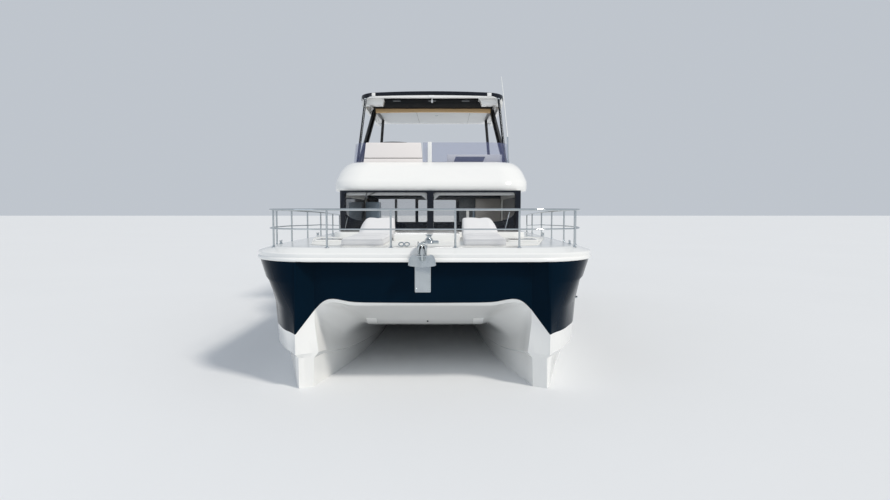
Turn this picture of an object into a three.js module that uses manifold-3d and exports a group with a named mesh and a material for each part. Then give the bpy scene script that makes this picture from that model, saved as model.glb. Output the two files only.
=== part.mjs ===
// Twin-hull motor yacht with a flybridge and a hardtop, 11 m long.
// Millimetres. Bow towards -Y, port side +X, +Z up.
// The origin lies amidships on the centreline, at the waterline.
import * as THREE from 'three';
import { mergeVertices } from 'three/addons/utils/BufferGeometryUtils.js';
import Module from 'manifold-3d';

const wasm = await Module();
wasm.setup();

// Overall sizes
const lengthOverall = 11000;
const beam = 5100;
const bowY = -lengthOverall / 2;
const sternY = lengthOverall / 2;
const gap = 0.3;

// Heights above the waterline
const hullTopZ = 1765;
const deckTopZ = 1950;
const soleZ = 920;
const coachTopZ = 2046;
const foredeckStepZ = 2080;
const roofZ = 2890;
const flyDeckZ = 3080;
const coamingZ = 3540;
const screenTopZ = 4015;
const hardtopZ = 5120;
const hardtopCrownZ = 5290;
const railTopZ = 2480;

// Saloon and cockpit
const saloonHalf = 1850;
const saloonFrontY = -1000;
const saloonAftY = 3050;
const wall = 40;
const frontWall = 60;
const cockpitHalf = 2150;
const bridgeHalf = 800;
const bridgeAftY = 4900;

const finish = {
  whiteGelcoat: { color: 0xf2f2ee, roughness: 0.22, metalness: 0 },
  navyGelcoat: { color: 0x0b1b2b, roughness: 0.12, metalness: 0 },
  glass: { color: 0x1b2930, roughness: 0.05, metalness: 0 },
  acrylic: { color: 0x5f7fa3, roughness: 0.08, metalness: 0 },
  steel: { color: 0xc9ced2, roughness: 0.2, metalness: 1 },
  blackPaint: { color: 0x0d1013, roughness: 0.35, metalness: 0.2 },
  vinyl: { color: 0xe4e4e6, roughness: 0.6, metalness: 0 },
  darkVinyl: { color: 0x3c4146, roughness: 0.65, metalness: 0 },
  teak: { color: 0xa47848, roughness: 0.6, metalness: 0 },
  bronze: { color: 0xa98752, roughness: 0.35, metalness: 1 },
  castIron: { color: 0x8d9092, roughness: 0.6, metalness: 0.6 },
  galvanised: { color: 0x9aa0a4, roughness: 0.5, metalness: 0.9 },
};

const boat = new THREE.Group();

// Solid from a closed three.js geometry
function toSolid(source) {
  const geometry = source.clone();
  geometry.deleteAttribute('normal');
  geometry.deleteAttribute('uv');
  const merged = mergeVertices(geometry, 1e-3);
  const index = merged.index.array;
  const triangles = [];
  for (let i = 0; i < index.length; i += 3) {
    const [a, b, c] = [index[i], index[i + 1], index[i + 2]];
    if (a !== b && b !== c && c !== a) triangles.push(a, b, c);
  }
  return new wasm.Manifold(new wasm.Mesh({
    numProp: 3,
    vertProperties: new Float32Array(merged.attributes.position.array),
    triVerts: new Uint32Array(triangles),
  }));
}

function toGeometry(solid) {
  const mesh = solid.getMesh();
  const geometry = new THREE.BufferGeometry();
  geometry.setAttribute('position', new THREE.BufferAttribute(mesh.vertProperties, 3));
  geometry.setIndex(new THREE.BufferAttribute(mesh.triVerts, 1));
  return geometry;
}

function place(name, solid, look, origin = [0, 0, 0]) {
  const geometry = toGeometry(solid);
  geometry.translate(-origin[0], -origin[1], -origin[2]);
  geometry.computeVertexNormals();
  const mesh = new THREE.Mesh(geometry, new THREE.MeshStandardMaterial(finish[look]));
  mesh.name = name;
  mesh.position.set(...origin);
  boat.add(mesh);
}

const join = (...solids) => solids.reduce((whole, piece) => whole.add(piece));
const cut = (solid, ...tools) => tools.reduce((whole, tool) => whole.subtract(tool), solid);
const mirrorX = (solid) => solid.mirror([1, 0, 0]);
const grow = (range, by) => [range[0] - by, range[1] + by];
const inner = (range, by) => grow(range, -by);

function box(x0, x1, y0, y1, z0, z1) {
  const geometry = new THREE.BoxGeometry(x1 - x0, y1 - y0, z1 - z0);
  geometry.translate((x0 + x1) / 2, (y0 + y1) / 2, (z0 + z1) / 2);
  return toSolid(geometry);
}

// Prism of a plan outline, from z0 up to z1
function prismZ(outline, z0, z1) {
  const shape = new THREE.Shape(outline.map(([x, y]) => new THREE.Vector2(x, y)));
  const geometry = new THREE.ExtrudeGeometry(shape, { depth: z1 - z0, bevelEnabled: false, curveSegments: 6 });
  geometry.translate(0, 0, z0);
  return toSolid(geometry);
}

// Prism of a side outline in y and z, from x0 to x1
function prismX(outline, x0, x1) {
  const shape = new THREE.Shape(outline.map(([y, z]) => new THREE.Vector2(y, z)));
  const geometry = new THREE.ExtrudeGeometry(shape, { depth: x1 - x0, bevelEnabled: false, curveSegments: 6 });
  const axes = new THREE.Matrix4().makeBasis(
    new THREE.Vector3(0, 1, 0), new THREE.Vector3(0, 0, 1), new THREE.Vector3(1, 0, 0));
  geometry.applyMatrix4(axes);
  geometry.translate(x0, 0, 0);
  return toSolid(geometry);
}

// Prism of a front outline in x and z, from y0 to y1
function prismY(outline, y0, y1) {
  const shape = new THREE.Shape(outline.map(([x, z]) => new THREE.Vector2(x, z)));
  const geometry = new THREE.ExtrudeGeometry(shape, { depth: y1 - y0, bevelEnabled: false, curveSegments: 6 });
  const axes = new THREE.Matrix4().makeBasis(
    new THREE.Vector3(1, 0, 0), new THREE.Vector3(0, 0, 1), new THREE.Vector3(0, -1, 0));
  geometry.applyMatrix4(axes);
  geometry.translate(0, y1, 0);
  return toSolid(geometry);
}

// Bar from one point to another, round or with few sides
function bar(from, to, radius, sides = 8, radiusTo = radius) {
  const a = new THREE.Vector3(...from);
  const b = new THREE.Vector3(...to);
  const geometry = new THREE.CylinderGeometry(radiusTo, radius, a.distanceTo(b), sides, 1);
  const turn = new THREE.Quaternion().setFromUnitVectors(
    new THREE.Vector3(0, 1, 0), b.clone().sub(a).normalize());
  geometry.applyQuaternion(turn);
  geometry.translate((a.x + b.x) / 2, (a.y + b.y) / 2, (a.z + b.z) / 2);
  return toSolid(geometry);
}

// Tube of a round section along a path with rounded corners
function tube(points, radius, steps, sides = 8) {
  const section = new THREE.Shape();
  for (let i = 0; i < sides; i += 1) {
    const angle = (2 * Math.PI * i) / sides;
    const at = [radius * Math.cos(angle), radius * Math.sin(angle)];
    if (i === 0) section.moveTo(...at);
    else section.lineTo(...at);
  }
  const path = new THREE.CatmullRomCurve3(
    points.map((p) => new THREE.Vector3(...p)), false, 'centripetal');
  const geometry = new THREE.ExtrudeGeometry(section, { steps, extrudePath: path, bevelEnabled: false });
  return toSolid(geometry);
}

// Closed loft through rings that have the same number of points
function loft(rings, flat) {
  const count = rings[0].length;
  const positions = rings.flat().flat();
  const index = [];
  for (let r = 0; r + 1 < rings.length; r += 1) {
    for (let i = 0; i < count; i += 1) {
      const j = (i + 1) % count;
      const [a, b] = [r * count + i, r * count + j];
      const [c, d] = [a + count, b + count];
      index.push(a, b, d, a, d, c);
    }
  }
  const capAt = (ring, offset, flip) => {
    const outline = ring.map((p) => new THREE.Vector2(...flat(p)));
    for (const [a, b, c] of THREE.ShapeUtils.triangulateShape(outline, [])) {
      index.push(...(flip ? [a, c, b] : [a, b, c]).map((k) => k + offset));
    }
  };
  capAt(rings[0], 0, true);
  capAt(rings.at(-1), (rings.length - 1) * count, false);
  const volume = signedVolume(positions, index);
  if (volume < 0) {
    for (let i = 0; i < index.length; i += 3) {
      [index[i + 1], index[i + 2]] = [index[i + 2], index[i + 1]];
    }
  }
  const geometry = new THREE.BufferGeometry();
  geometry.setAttribute('position', new THREE.Float32BufferAttribute(positions, 3));
  geometry.setIndex(index);
  return toSolid(geometry);
}

function signedVolume(positions, index) {
  const point = (k) => new THREE.Vector3(positions[3 * k], positions[3 * k + 1], positions[3 * k + 2]);
  let sum = 0;
  for (let i = 0; i < index.length; i += 3) {
    sum += point(index[i]).dot(point(index[i + 1]).cross(point(index[i + 2])));
  }
  return sum / 6;
}

const alongY = (p) => [p[0], p[2]];
const alongZ = (p) => [p[0], p[1]];

// Plan outline of a rounded rectangle: half width, ends, corner radii
function roundedPlan(half, y0, y1, r0, r1, steps = 5) {
  const corners = [
    [half - r0, y0 + r0, r0, -90],
    [half - r1, y1 - r1, r1, 0],
    [-half + r1, y1 - r1, r1, 90],
    [-half + r0, y0 + r0, r0, 180],
  ];
  const outline = [];
  for (const [x, y, radius, start] of corners) {
    for (let i = 0; i <= steps; i += 1) {
      const angle = THREE.MathUtils.degToRad(start + (90 * i) / steps);
      outline.push([x + radius * Math.cos(angle), y + radius * Math.sin(angle)]);
    }
  }
  return outline;
}

// Port hull. One row for each station, in these columns:
// y; sheer, knuckle, topside and chine half widths; width at the waterline outside;
// depth of the keel; waterline inside; then x and z of the tunnel's chine, side, cove,
// crown and flat; height of the ceiling; x of the inner end of ceiling and top
const stemX = 1740;
const keelX = 1640;
const frontY = -5372;
const hullStations = [
  [-5450, 1748, 1748, 1748, 1748, 1746, -150, 1735, 1732, 500, 1732, 800, 1732, 820, 1732, 840, 1732, 860, 880, 1732],
  [-5425, 1822, 1815, 1772, 1764, 1750, -200, 1716, 1690, 498, 1690, 866, 1662, 900, 1634, 938, 1616, 960, 968, 1611],
  [-5396, 1886, 1873, 1796, 1782, 1756, -235, 1690, 1652, 496, 1656, 911, 1588, 1001, 1524, 1087, 1472, 1146,
    1164, 1456],
  [frontY, 1932, 1916, 1818, 1799, 1762, -260, 1664, 1621, 494, 1628, 949, 1512, 1100, 1386, 1215, 1232, 1232,
    1190, 800],
  [-5330, 1999, 1975, 1852, 1825, 1770, -300, 1613, 1567, 491, 1584, 975, 1478, 1114, 1346, 1203, 1134, 1200,
    1171, 800],
  [-5250, 2102, 2068, 1924, 1884, 1786, -350, 1541, 1484, 485, 1516, 1010, 1416, 1140, 1274, 1180, 950, 1140,
    1135, 800],
  [-5140, 2208, 2165, 2026, 1974, 1814, -420, 1515, 1462, 470, 1484, 940, 1384, 1075, 1238, 1125, 925, 1090,
    1085, 800],
  [-5000, 2308, 2259, 2134, 2078, 1850, -470, 1477, 1432, 445, 1445, 852, 1338, 1000, 1182, 1050, 900, 1030,
    1022, 800],
  [-4800, 2407, 2357, 2246, 2184, 1893, -510, 1425, 1388, 405, 1395, 756, 1280, 910, 1116, 955, 860, 935,
    929, 800],
  [-4600, 2470, 2419, 2322, 2262, 1936, -535, 1374, 1345, 365, 1345, 660, 1222, 820, 1050, 860, 840, 842,
    836, 800],
  [-4250, 2510, 2460, 2386, 2328, 1996, -562, 1296, 1268, 305, 1270, 502, 1150, 645, 1006, 685, 835, 678,
    673, 800],
  [-3600, 2510, 2465, 2430, 2376, 2090, -590, 1170, 1143, 240, 1143, 440, 1046, 580, 928, 626, 835, 632,
    630, 800],
  [-2500, 2510, 2470, 2442, 2394, 2190, -600, 1045, 1018, 160, 1015, 390, 930, 545, 870, 600, 835, 618,
    620, 800],
  [-1000, 2510, 2470, 2450, 2410, 2255, -600, 947, 920, 90, 925, 340, 880, 520, 850, 590, 830, 615, 620, 800],
  [1500, 2510, 2470, 2450, 2410, 2280, -580, 937, 910, 80, 915, 330, 875, 515, 848, 590, 828, 615, 620, 800],
  [3600, 2505, 2465, 2445, 2405, 2275, -500, 937, 910, 80, 915, 330, 875, 515, 848, 590, 828, 615, 620, 800],
  [5100, 2480, 2445, 2425, 2390, 2250, -230, 942, 915, 80, 920, 330, 880, 515, 850, 590, 828, 615, 620, 800],
  [5500, 2460, 2425, 2405, 2375, 2240, -120, 947, 920, 80, 925, 330, 885, 515, 852, 590, 828, 615, 620, 800],
];
const knuckleZ = 1500;
const knuckleDrop = 45;
const topsideZ = 1090;
const chineZ = 500;
const chineDrop = 50;
const ridgeY = -5250;

function hullSection(row) {
  const [y, sheer, knuckle, topside, chine, wlOut, keelZ, wlIn, chineInX, chineInZ,
    sideX, sideZ, coveX, coveZ, crownX, crownZ, flatX, flatZ, ceilZ, endX] = row;
  const full = Math.min(1, (y - bowY - 40) / 700);
  const centre = stemX + (keelX - stemX) * full;
  const knuckleStep = 6 + 50 * full;
  const ridge = Math.max(0, 1 - Math.abs(y - ridgeY) / 650);
  const chineStep = Math.min(12 + 90 * full, 0.6 * (chine - centre));
  const chineStepIn = Math.min(24 + 30 * ridge, 0.5 * (centre - chineInX));
  const keelHalf = 6 + 70 * full;
  const bilgeZ = keelZ * 0.72;
  const bilge = (wl) => centre + (wl - centre) * (0.25 + 0.45 * full);
  return [
    [endX, y, hullTopZ - gap],
    [endX, y, ceilZ],
    [flatX, y, flatZ],
    [crownX, y, crownZ],
    [coveX, y, coveZ],
    [sideX, y, sideZ],
    [chineInX, y, chineInZ],
    [chineInX + chineStepIn, y, chineInZ - chineDrop],
    [wlIn, y, 0],
    [bilge(wlIn), y, bilgeZ],
    [centre - keelHalf, y, keelZ],
    [centre + keelHalf, y, keelZ],
    [bilge(wlOut), y, bilgeZ],
    [wlOut, y, 0],
    [chine - chineStep, y, chineZ - chineDrop],
    [chine, y, chineZ],
    [topside, y, topsideZ],
    [knuckle - knuckleStep, y, knuckleZ - knuckleDrop],
    [knuckle, y, knuckleZ],
    [sheer, y, hullTopZ - gap],
  ];
}

// Stern steps, each [front y, tread height], and the fall of the bulwark above them
const sternSteps = [[4560, 750], [4760, 575], [4960, 400]];
const bulwarkFall = [[4350, 2100], [4450, hullTopZ + 20], [5300, 700], [5600, 640], [5600, 2100]];

// Engine bays, open at the top under their hatches
const engineBay = { x: [1300, 1980], y: [3400, 4420], floor: -60 };
const engineSize = { half: 300, y: [3450, 4370], height: 720 };
const engineHatch = { x: [1256, 2024], y: [3356, 4464], depth: 40 };
const hatchRim = 4;

// Skeg under each hull, and the shaft line behind it
const skegHalf = 45;
const skeg = [[-900, -560], [-500, -820], [2900, -930], [3250, -930], [3330, -480]];
const shaftStart = [keelX, 3230, -628];
const shaftEnd = [keelX, 3950, -694];
const shaftRadius = 30;
const propeller = { at: [keelX, 4010, -699.5], radius: 215, hubRadius: 46, hubHalf: 59.9, pitch: 360 };
const rudder = { stockY: 4520, top: -385, bottom: -870, stockRadius: 28, stockTop: -180, boreRadius: 28.6 };

function hull() {
  const body = loft(hullStations.map(hullSection), alongY);
  const fin = prismX(skeg, keelX - skegHalf, keelX + skegHalf);
  const saloonCut = box(0, saloonHalf + gap, saloonFrontY, saloonAftY + wall + gap, soleZ, hullTopZ + 50);
  const cockpitCut = box(0, cockpitHalf, saloonAftY + wall, sternY + 50, soleZ, hullTopZ + 50);
  const steps = sternSteps.map(([y, z]) => box(0, cockpitHalf, y, sternY + 50, z, hullTopZ + 50));
  const fall = prismX(bulwarkFall, 0, beam);
  const forefoot = prismX([[-5500, -700], [-5437, -700], [-5437, chineZ - chineDrop - 14], [-5451, chineZ - 14],
    [-5500, chineZ - 14]], 0, beam);
  const counter = prismX([[5120, -700], [5600, -700], [5600, 150], [5120, 120]], 0, beam);
  const bay = box(...engineBay.x, ...engineBay.y, engineBay.floor, soleZ + 50);
  const rebate = box(...grow(engineHatch.x, hatchRim), ...grow(engineHatch.y, hatchRim),
    soleZ - engineHatch.depth - gap, soleZ + 50);
  const stockBore = bar([keelX, rudder.stockY, -900], [keelX, rudder.stockY, rudder.stockTop + gap],
    rudder.boreRadius, 24);
  return cut(join(body, fin), saloonCut, cockpitCut, ...steps, fall, forefoot, counter, bay, rebate, stockBore);
}
const portHull = hull();
place('hull_port', portHull, 'navyGelcoat');
// The starboard hull also has the two lugs of the boarding ladder's hinge
const ladder = { x: [-1900, -1480], y: [5060, 5560], hingeY: 5545, barRadius: 15, overhang: 20 };
const platformZ = sternSteps.at(-1)[1];
const ladderLugs = [[ladder.x[0] - ladder.overhang - 16, ladder.x[0] - ladder.overhang - gap],
  [ladder.x[1] + ladder.overhang + gap, ladder.x[1] + ladder.overhang + 16]]
  .map((x) => box(...x, sternY - 20, ladder.y[1] + 5, platformZ - 30, platformZ + 36));
place('hull_starboard', join(mirrorX(portHull), ...ladderLugs), 'navyGelcoat');

// Bridgedeck between the hulls, with the ramp that rises to its front face
const ceiling = hullStations.filter(([y]) => y >= frontY && y <= saloonFrontY).map((row) => [row[0], row.at(-2)]);
const bridgeProfile = [
  [frontY, hullTopZ - gap], ...ceiling, [bridgeAftY, 620], [bridgeAftY, soleZ],
  [saloonFrontY, soleZ], [saloonFrontY, hullTopZ - gap],
];
place('bridgedeck', prismX(bridgeProfile.toReversed(), -bridgeHalf + gap, bridgeHalf - gap), 'whiteGelcoat');

// Deck moulding. The corners at the bow are quarter ellipses.
const cornerX = 1550;
const cornerY = -4250;
function deckOutline(inset) {
  const half = [];
  const a = beam / 2 - cornerX - inset;
  const b = cornerY - bowY - 30 - inset;
  half.push([600, bowY + inset + 2]);
  for (let i = 0; i <= 12; i += 1) {
    const angle = THREE.MathUtils.degToRad(-90 + (90 * i) / 12);
    half.push([cornerX + a * Math.cos(angle), cornerY + b * Math.sin(angle)]);
  }
  half.push([beam / 2 - inset, 2500], [beam / 2 - 35 - inset, 5480]);
  return [...half, ...half.toReversed().map(([x, y]) => [-x, y])];
}

// Gunwale rings: [inset from the outline, height]
const gunwale = [[24, hullTopZ], [6, hullTopZ + 6], [0, hullTopZ + 22], [4, 1810], [14, 1822], [14, 1866],
  [26, 1880], [250, deckTopZ]];
const lockerLid = { x: [-530, -120], y: [-5060, -4560], depth: 40 };
const cabinHatch = { x: [1330, 1830], y: [-3900, -3400], depth: 45 };

function deck() {
  const slab = loft(gunwale.map(([inset, z]) => deckOutline(inset).map(([x, y]) => [x, y, z])), alongZ);
  const coach = join(
    box(-560, 560, -3600, -1800, deckTopZ - 1, foredeckStepZ),
    prismZ(roundedPlan(saloonHalf + wall, -1900, saloonFrontY + 200, 240, 20), deckTopZ - 1, coachTopZ));
  const saloonCut = box(-saloonHalf - gap, saloonHalf + gap, saloonFrontY, saloonAftY + wall + gap,
    hullTopZ - 100, coachTopZ + 50);
  const coachCut = box(-3000, 3000, saloonFrontY - gap, 3000, deckTopZ, coachTopZ + 50);
  const cockpitCut = box(-cockpitHalf, cockpitHalf, saloonAftY + wall, sternY + 50, hullTopZ - 100, coachTopZ + 50);
  const fall = prismX(bulwarkFall, -beam, beam);
  const locker = box(...grow(lockerLid.x, hatchRim), ...grow(lockerLid.y, hatchRim),
    deckTopZ - lockerLid.depth - gap, deckTopZ + 50);
  const hatchWell = box(cabinHatch.x[0] + 30, cabinHatch.x[1] - 30, cabinHatch.y[0] + 30, cabinHatch.y[1] - 30,
    deckTopZ - 60, deckTopZ + 50);
  return cut(join(slab, coach), saloonCut, coachCut, cockpitCut, fall, locker, hatchWell, mirrorX(hatchWell));
}
const deckSolid = deck();
place('deck', deckSolid, 'whiteGelcoat');
place('anchor_locker_lid', box(...lockerLid.x, ...lockerLid.y,
  deckTopZ - lockerLid.depth, deckTopZ), 'whiteGelcoat');
for (const [side, name] of [[-1, 'starboard'], [1, 'port']]) {
  const xs = cabinHatch.x.map((x) => x * side).sort((a, b) => a - b);
  const lid = box(...xs, ...cabinHatch.y, deckTopZ + gap, deckTopZ + gap + cabinHatch.depth);
  place(`deck_hatch_${name}`, lid, 'glass');
}

// Deckhouse walls
const roofUnder = roofZ - gap;
const glassThickness = 8;
const windscreen = { x: [65, 1790], z: [2076, 2850] };
const sideWindow = { y: [-820, 2780], z: [2090, 2760] };
function windowPlan(u0, u1, v0, v1, radius) {
  const half = (u1 - u0) / 2;
  return roundedPlan(half, v0, v1, radius, radius, 3).map(([u, v]) => [u + (u0 + u1) / 2, v]);
}

function cabinFront() {
  const face = box(-saloonHalf - wall, saloonHalf + wall, saloonFrontY - frontWall, saloonFrontY - gap,
    coachTopZ + gap, roofUnder);
  const opening = prismY(windowPlan(...windscreen.x, ...windscreen.z, 50), saloonFrontY - 200, saloonFrontY + 200);
  return cut(face, opening, mirrorX(opening));
}
place('cabin_front', cabinFront(), 'blackPaint');

function cabinSide() {
  const side = box(saloonHalf, saloonHalf + wall, saloonFrontY + gap, saloonAftY + wall, deckTopZ + gap, roofUnder);
  return cut(side, prismX(windowPlan(...sideWindow.y, ...sideWindow.z, 180), saloonHalf - 50, saloonHalf + 100));
}
const portSide = cabinSide();
const screenPane = prismY(windowPlan(...inner(windscreen.x, gap), ...inner(windscreen.z, gap), 50 - gap),
  saloonFrontY - 35, saloonFrontY - 35 + glassThickness);
const sidePane = prismX(windowPlan(...inner(sideWindow.y, gap), ...inner(sideWindow.z, gap), 180 - gap),
  saloonHalf + 20, saloonHalf + 20 + glassThickness);
place('cabin_side_port', portSide, 'whiteGelcoat');
place('cabin_side_starboard', mirrorX(portSide), 'whiteGelcoat');
place('windscreen_port', screenPane, 'glass');
place('windscreen_starboard', mirrorX(screenPane), 'glass');
place('side_window_port', sidePane, 'glass');
place('side_window_starboard', mirrorX(sidePane), 'glass');

// Aft bulkhead with a fixed pane and the doorway; the door slides across outside the pane
const doorway = { x: [-460, 630], z: [soleZ + 30, 2790] };
const aftPane = { x: [-1540, -520], z: [soleZ + 60, 2790] };
const door = { x: [-500, 670], y: [saloonAftY + wall + 8, saloonAftY + wall + 38], z: [soleZ + 5, 2830] };
const runnerHeight = 23;
function cabinAft() {
  const face = box(-saloonHalf + gap, saloonHalf - gap, saloonAftY, saloonAftY + wall - gap, soleZ + gap, roofUnder);
  const opening = box(...doorway.x, saloonAftY - 50, saloonAftY + 100, ...doorway.z);
  const pane = box(...aftPane.x, saloonAftY - 50, saloonAftY + 100, ...aftPane.z);
  return cut(face, opening, pane);
}
place('cabin_aft', cabinAft(), 'whiteGelcoat');
place('aft_window', box(...inner(aftPane.x, gap), saloonAftY + 16, saloonAftY + 16 + glassThickness,
  ...inner(aftPane.z, gap)), 'glass');
const runners = [[door.z[0], door.z[0] + runnerHeight], [door.z[1] - runnerHeight, door.z[1]]];
place('saloon_door', join(box(...door.x, ...door.y, ...door.z),
  ...runners.map((z) => box(...door.x, saloonAftY + wall, door.y[1], ...z))), 'glass');

// Roof and flybridge moulding. Rings: [height, half width, front y, front corner radius]
const flyAftY = 4900;
const roofRings = [
  [roofZ, 2040, -890, 620],
  [2910, 2075, -910, 630],
  [2960, 2105, -920, 645],
  [flyDeckZ, 2120, -860, 660],
  [3200, 2095, -755, 655],
  [3330, 2052, -600, 635],
  [3430, 1990, -485, 615],
  [3500, 1925, -370, 590],
  [coamingZ, 1860, -300, 560],
];
const coamingAftY = 3300;
const coamingWidth = 130;
const stairwell = { x: [660, 1250], y: [3300, 4500] };
function flybridge() {
  const shell = loft(roofRings.map(([z, half, front, radius]) => roundedPlan(half, front, flyAftY, radius, 250, 8)
    .map(([x, y]) => [x, y, z])), alongZ);
  const well = loft([
    roundedPlan(1900, -420, flyAftY + 300, 520, 50).map(([x, y]) => [x, y, flyDeckZ]),
    roundedPlan(1860 - coamingWidth, -300 + coamingWidth, flyAftY + 300, 430, 50).map(([x, y]) => [x, y, coamingZ + 10]),
  ], alongZ);
  const aftFall = prismX([[coamingAftY, coamingZ + 50], [coamingAftY + 500, flyDeckZ], [flyAftY + 100, flyDeckZ],
    [flyAftY + 100, coamingZ + 50]], -beam, beam);
  const stair = box(...stairwell.x, ...stairwell.y, roofZ - 50, flyDeckZ + 50);
  return cut(shell, well, aftFall, stair);
}
place('flybridge_deck', flybridge(), 'whiteGelcoat');

// Tinted screen round the front of the flybridge, standing on the coaming
const screenThickness = 12;
const pod = { x: [-1500, -193], topX: [-1450, -230], topZ: 4010, front: -240, lowX: [-1430, -200] };
const podEnds = (grown) => prismY([[pod.x[0] - grown, coamingZ - 60], [pod.x[1] + grown, coamingZ - 60],
  [pod.x[1] + grown, coamingZ], [pod.topX[1] + grown, pod.topZ], [pod.topX[1] + grown, pod.topZ + 60],
  [pod.topX[0] - grown, pod.topZ + 60], [pod.topX[0] - grown, pod.topZ], [pod.x[0] - grown, coamingZ]], -1000, 3000);
function flyScreen() {
  const ring = (inset, z) => roundedPlan(1800 - inset, -210 + inset, 1500, 520 - inset * 0.6, 2, 8)
    .map(([x, y]) => [x, y, z]);
  const outer = loft([ring(0, coamingZ + gap), ring(60, screenTopZ)], alongZ);
  const inside = loft([ring(screenThickness, coamingZ - 5), ring(60 + screenThickness, screenTopZ + 5)], alongZ);
  const back = prismX([[1120, coamingZ - 10], [2000, coamingZ - 10], [2000, screenTopZ + 20], [620, screenTopZ + 20]],
    -beam, beam);
  return cut(outer, inside, back);
}
const screen = cut(flyScreen(), podEnds(6));
const beside = [-1000, 3000, coamingZ - 50, screenTopZ + 50];
place('fly_screen_port', screen.intersect(box(pod.x[1] - 100, 2500, ...beside)), 'acrylic');
place('fly_screen_starboard', screen.intersect(box(-2500, pod.x[0] + 100, ...beside)), 'acrylic');

// Helm pod of the flybridge. It stands in the well and laps over the coaming.
const podFace = [[230, coamingZ + gap], [170, 3830]];
function flyConsole() {
  const upper = prismX([[pod.front, coamingZ + gap], ...podFace, [40, 3985],
    [-60, pod.topZ], [-195, 4000]].toReversed(), ...pod.x).intersect(podEnds(0));
  const foot = box(...pod.lowX, -110, 230, flyDeckZ + gap, coamingZ + 20);
  return join(upper, foot);
}
place('fly_console', flyConsole(), 'whiteGelcoat');

// Steering wheels, square to the sloping face of their consoles.
// A face is [lower y, lower z, upper y, upper z].
const wheelRadius = 190;
const wheelHub = 60;
function wheelSeat(x, height, [y0, z0, y1, z1]) {
  const slope = Math.atan2(y0 - y1, z1 - z0);
  const y = y0 + ((y1 - y0) * (height - z0)) / (z1 - z0);
  const off = wheelHub + gap;
  return { at: [x, y + off * Math.cos(slope), height + off * Math.sin(slope)], slope };
}
function wheel({ at, slope }) {
  const rim = toSolid(new THREE.TorusGeometry(wheelRadius, 14, 8, 28));
  const hub = bar([0, 0, -wheelHub], [0, 0, 18], 38, 12);
  const spokes = [90, 210, 330].map((degrees) => {
    const angle = THREE.MathUtils.degToRad(degrees);
    return bar([0, 0, 0], [wheelRadius * Math.cos(angle), wheelRadius * Math.sin(angle), 0], 11, 6);
  });
  return join(rim, hub, ...spokes).rotate([THREE.MathUtils.radToDeg(slope) - 90, 0, 0]).translate(at);
}
const flyWheel = wheelSeat(-900, 3760, [...podFace[0], ...podFace[1]]);
place('fly_wheel', wheel(flyWheel), 'steel', flyWheel.at);

// Flybridge seats and table
function helmSeat(x, y, floor, width = 560) {
  const half = width / 2;
  return join(
    bar([x, y, floor + gap], [x, y, floor + 420], 60, 12),
    bar([x, y, floor + gap], [x, y, floor + 20], 170, 12),
    box(x - half, x + half, y - 250, y + 260, floor + 400, floor + 540),
    prismX([[y + 190, floor + 500], [y + 310, floor + 500], [y + 360, floor + 1000], [y + 280, floor + 1000]],
      x - half + 20, x + half - 20));
}
place('fly_helm_seat', helmSeat(-870, 820, flyDeckZ, 620), 'vinyl');

const flySofa = { x: [350, 1600], y: [60, 2700], seat: 3480, back: 3745, depth: 600, inner: 1030 };
place('fly_sofa', join(
  box(...flySofa.x, flySofa.y[0], flySofa.y[0] + flySofa.depth, flyDeckZ + gap, flySofa.seat),
  box(flySofa.inner, flySofa.x[1], ...flySofa.y, flyDeckZ + gap, flySofa.seat),
  box(...flySofa.x, flySofa.y[0], flySofa.y[0] + 130, flyDeckZ + gap, flySofa.back),
  box(flySofa.x[1] - 120, flySofa.x[1], ...flySofa.y, flyDeckZ + gap, flySofa.back)), 'vinyl');
place('fly_table', join(
  bar([640, 1400, flyDeckZ + gap], [640, 1400, 3740], 45, 12),
  bar([640, 1400, flyDeckZ + gap], [640, 1400, flyDeckZ + 20], 180, 12),
  prismZ(windowPlan(370, 910, 950, 1850, 90), 3720, 3750)), 'teak');

// Hardtop: shell with skirts, end blocks and a cross beam, under a crowned top
const hardtop = { half: 1700, y: [680, 4950], radius: 330, skirt: 4960, skirtWidth: 80, lip: 5190 };
function crownedPlate() {
  const arc = [];
  for (let i = 0; i <= 10; i += 1) {
    const x = hardtop.half - (2 * hardtop.half * i) / 10;
    arc.push([x, hardtop.lip + 10 + (hardtopCrownZ - hardtop.lip - 10) * (1 - (x / hardtop.half) ** 2)]);
  }
  const section = prismY([[-hardtop.half, hardtop.lip + gap], [hardtop.half, hardtop.lip + gap], ...arc],
    hardtop.y[0] - 10, hardtop.y[1] + 10);
  return section.intersect(prismZ(roundedPlan(hardtop.half - 6, hardtop.y[0] + 6, hardtop.y[1] - 6, 324, 324),
    hardtopZ, hardtopCrownZ + 50));
}
function hardtopShell() {
  const plan = roundedPlan(hardtop.half, ...hardtop.y, hardtop.radius, hardtop.radius);
  const plate = prismZ(plan, hardtopZ, hardtop.lip);
  const skirts = [-1, 1].map((side) => box(...[side * hardtop.half, side * (hardtop.half - hardtop.skirtWidth)]
    .sort((a, b) => a - b), 1000, hardtop.y[1] - 320, hardtop.skirt, hardtopZ + 1));
  const blocks = [-1, 1].map((side) => box(...[side * 1150, side * (hardtop.half - 30)].sort((a, b) => a - b),
    830, 1100, hardtop.skirt + 20, hardtopZ + 1));
  const beamUnder = box(-1480, 1480, 2350, 2450, hardtopZ - 80, hardtopZ + 1);
  return join(plate, ...skirts, ...blocks, beamUnder);
}
place('hardtop', hardtopShell(), 'whiteGelcoat');
place('hardtop_top', crownedPlate(), 'blackPaint');

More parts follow.
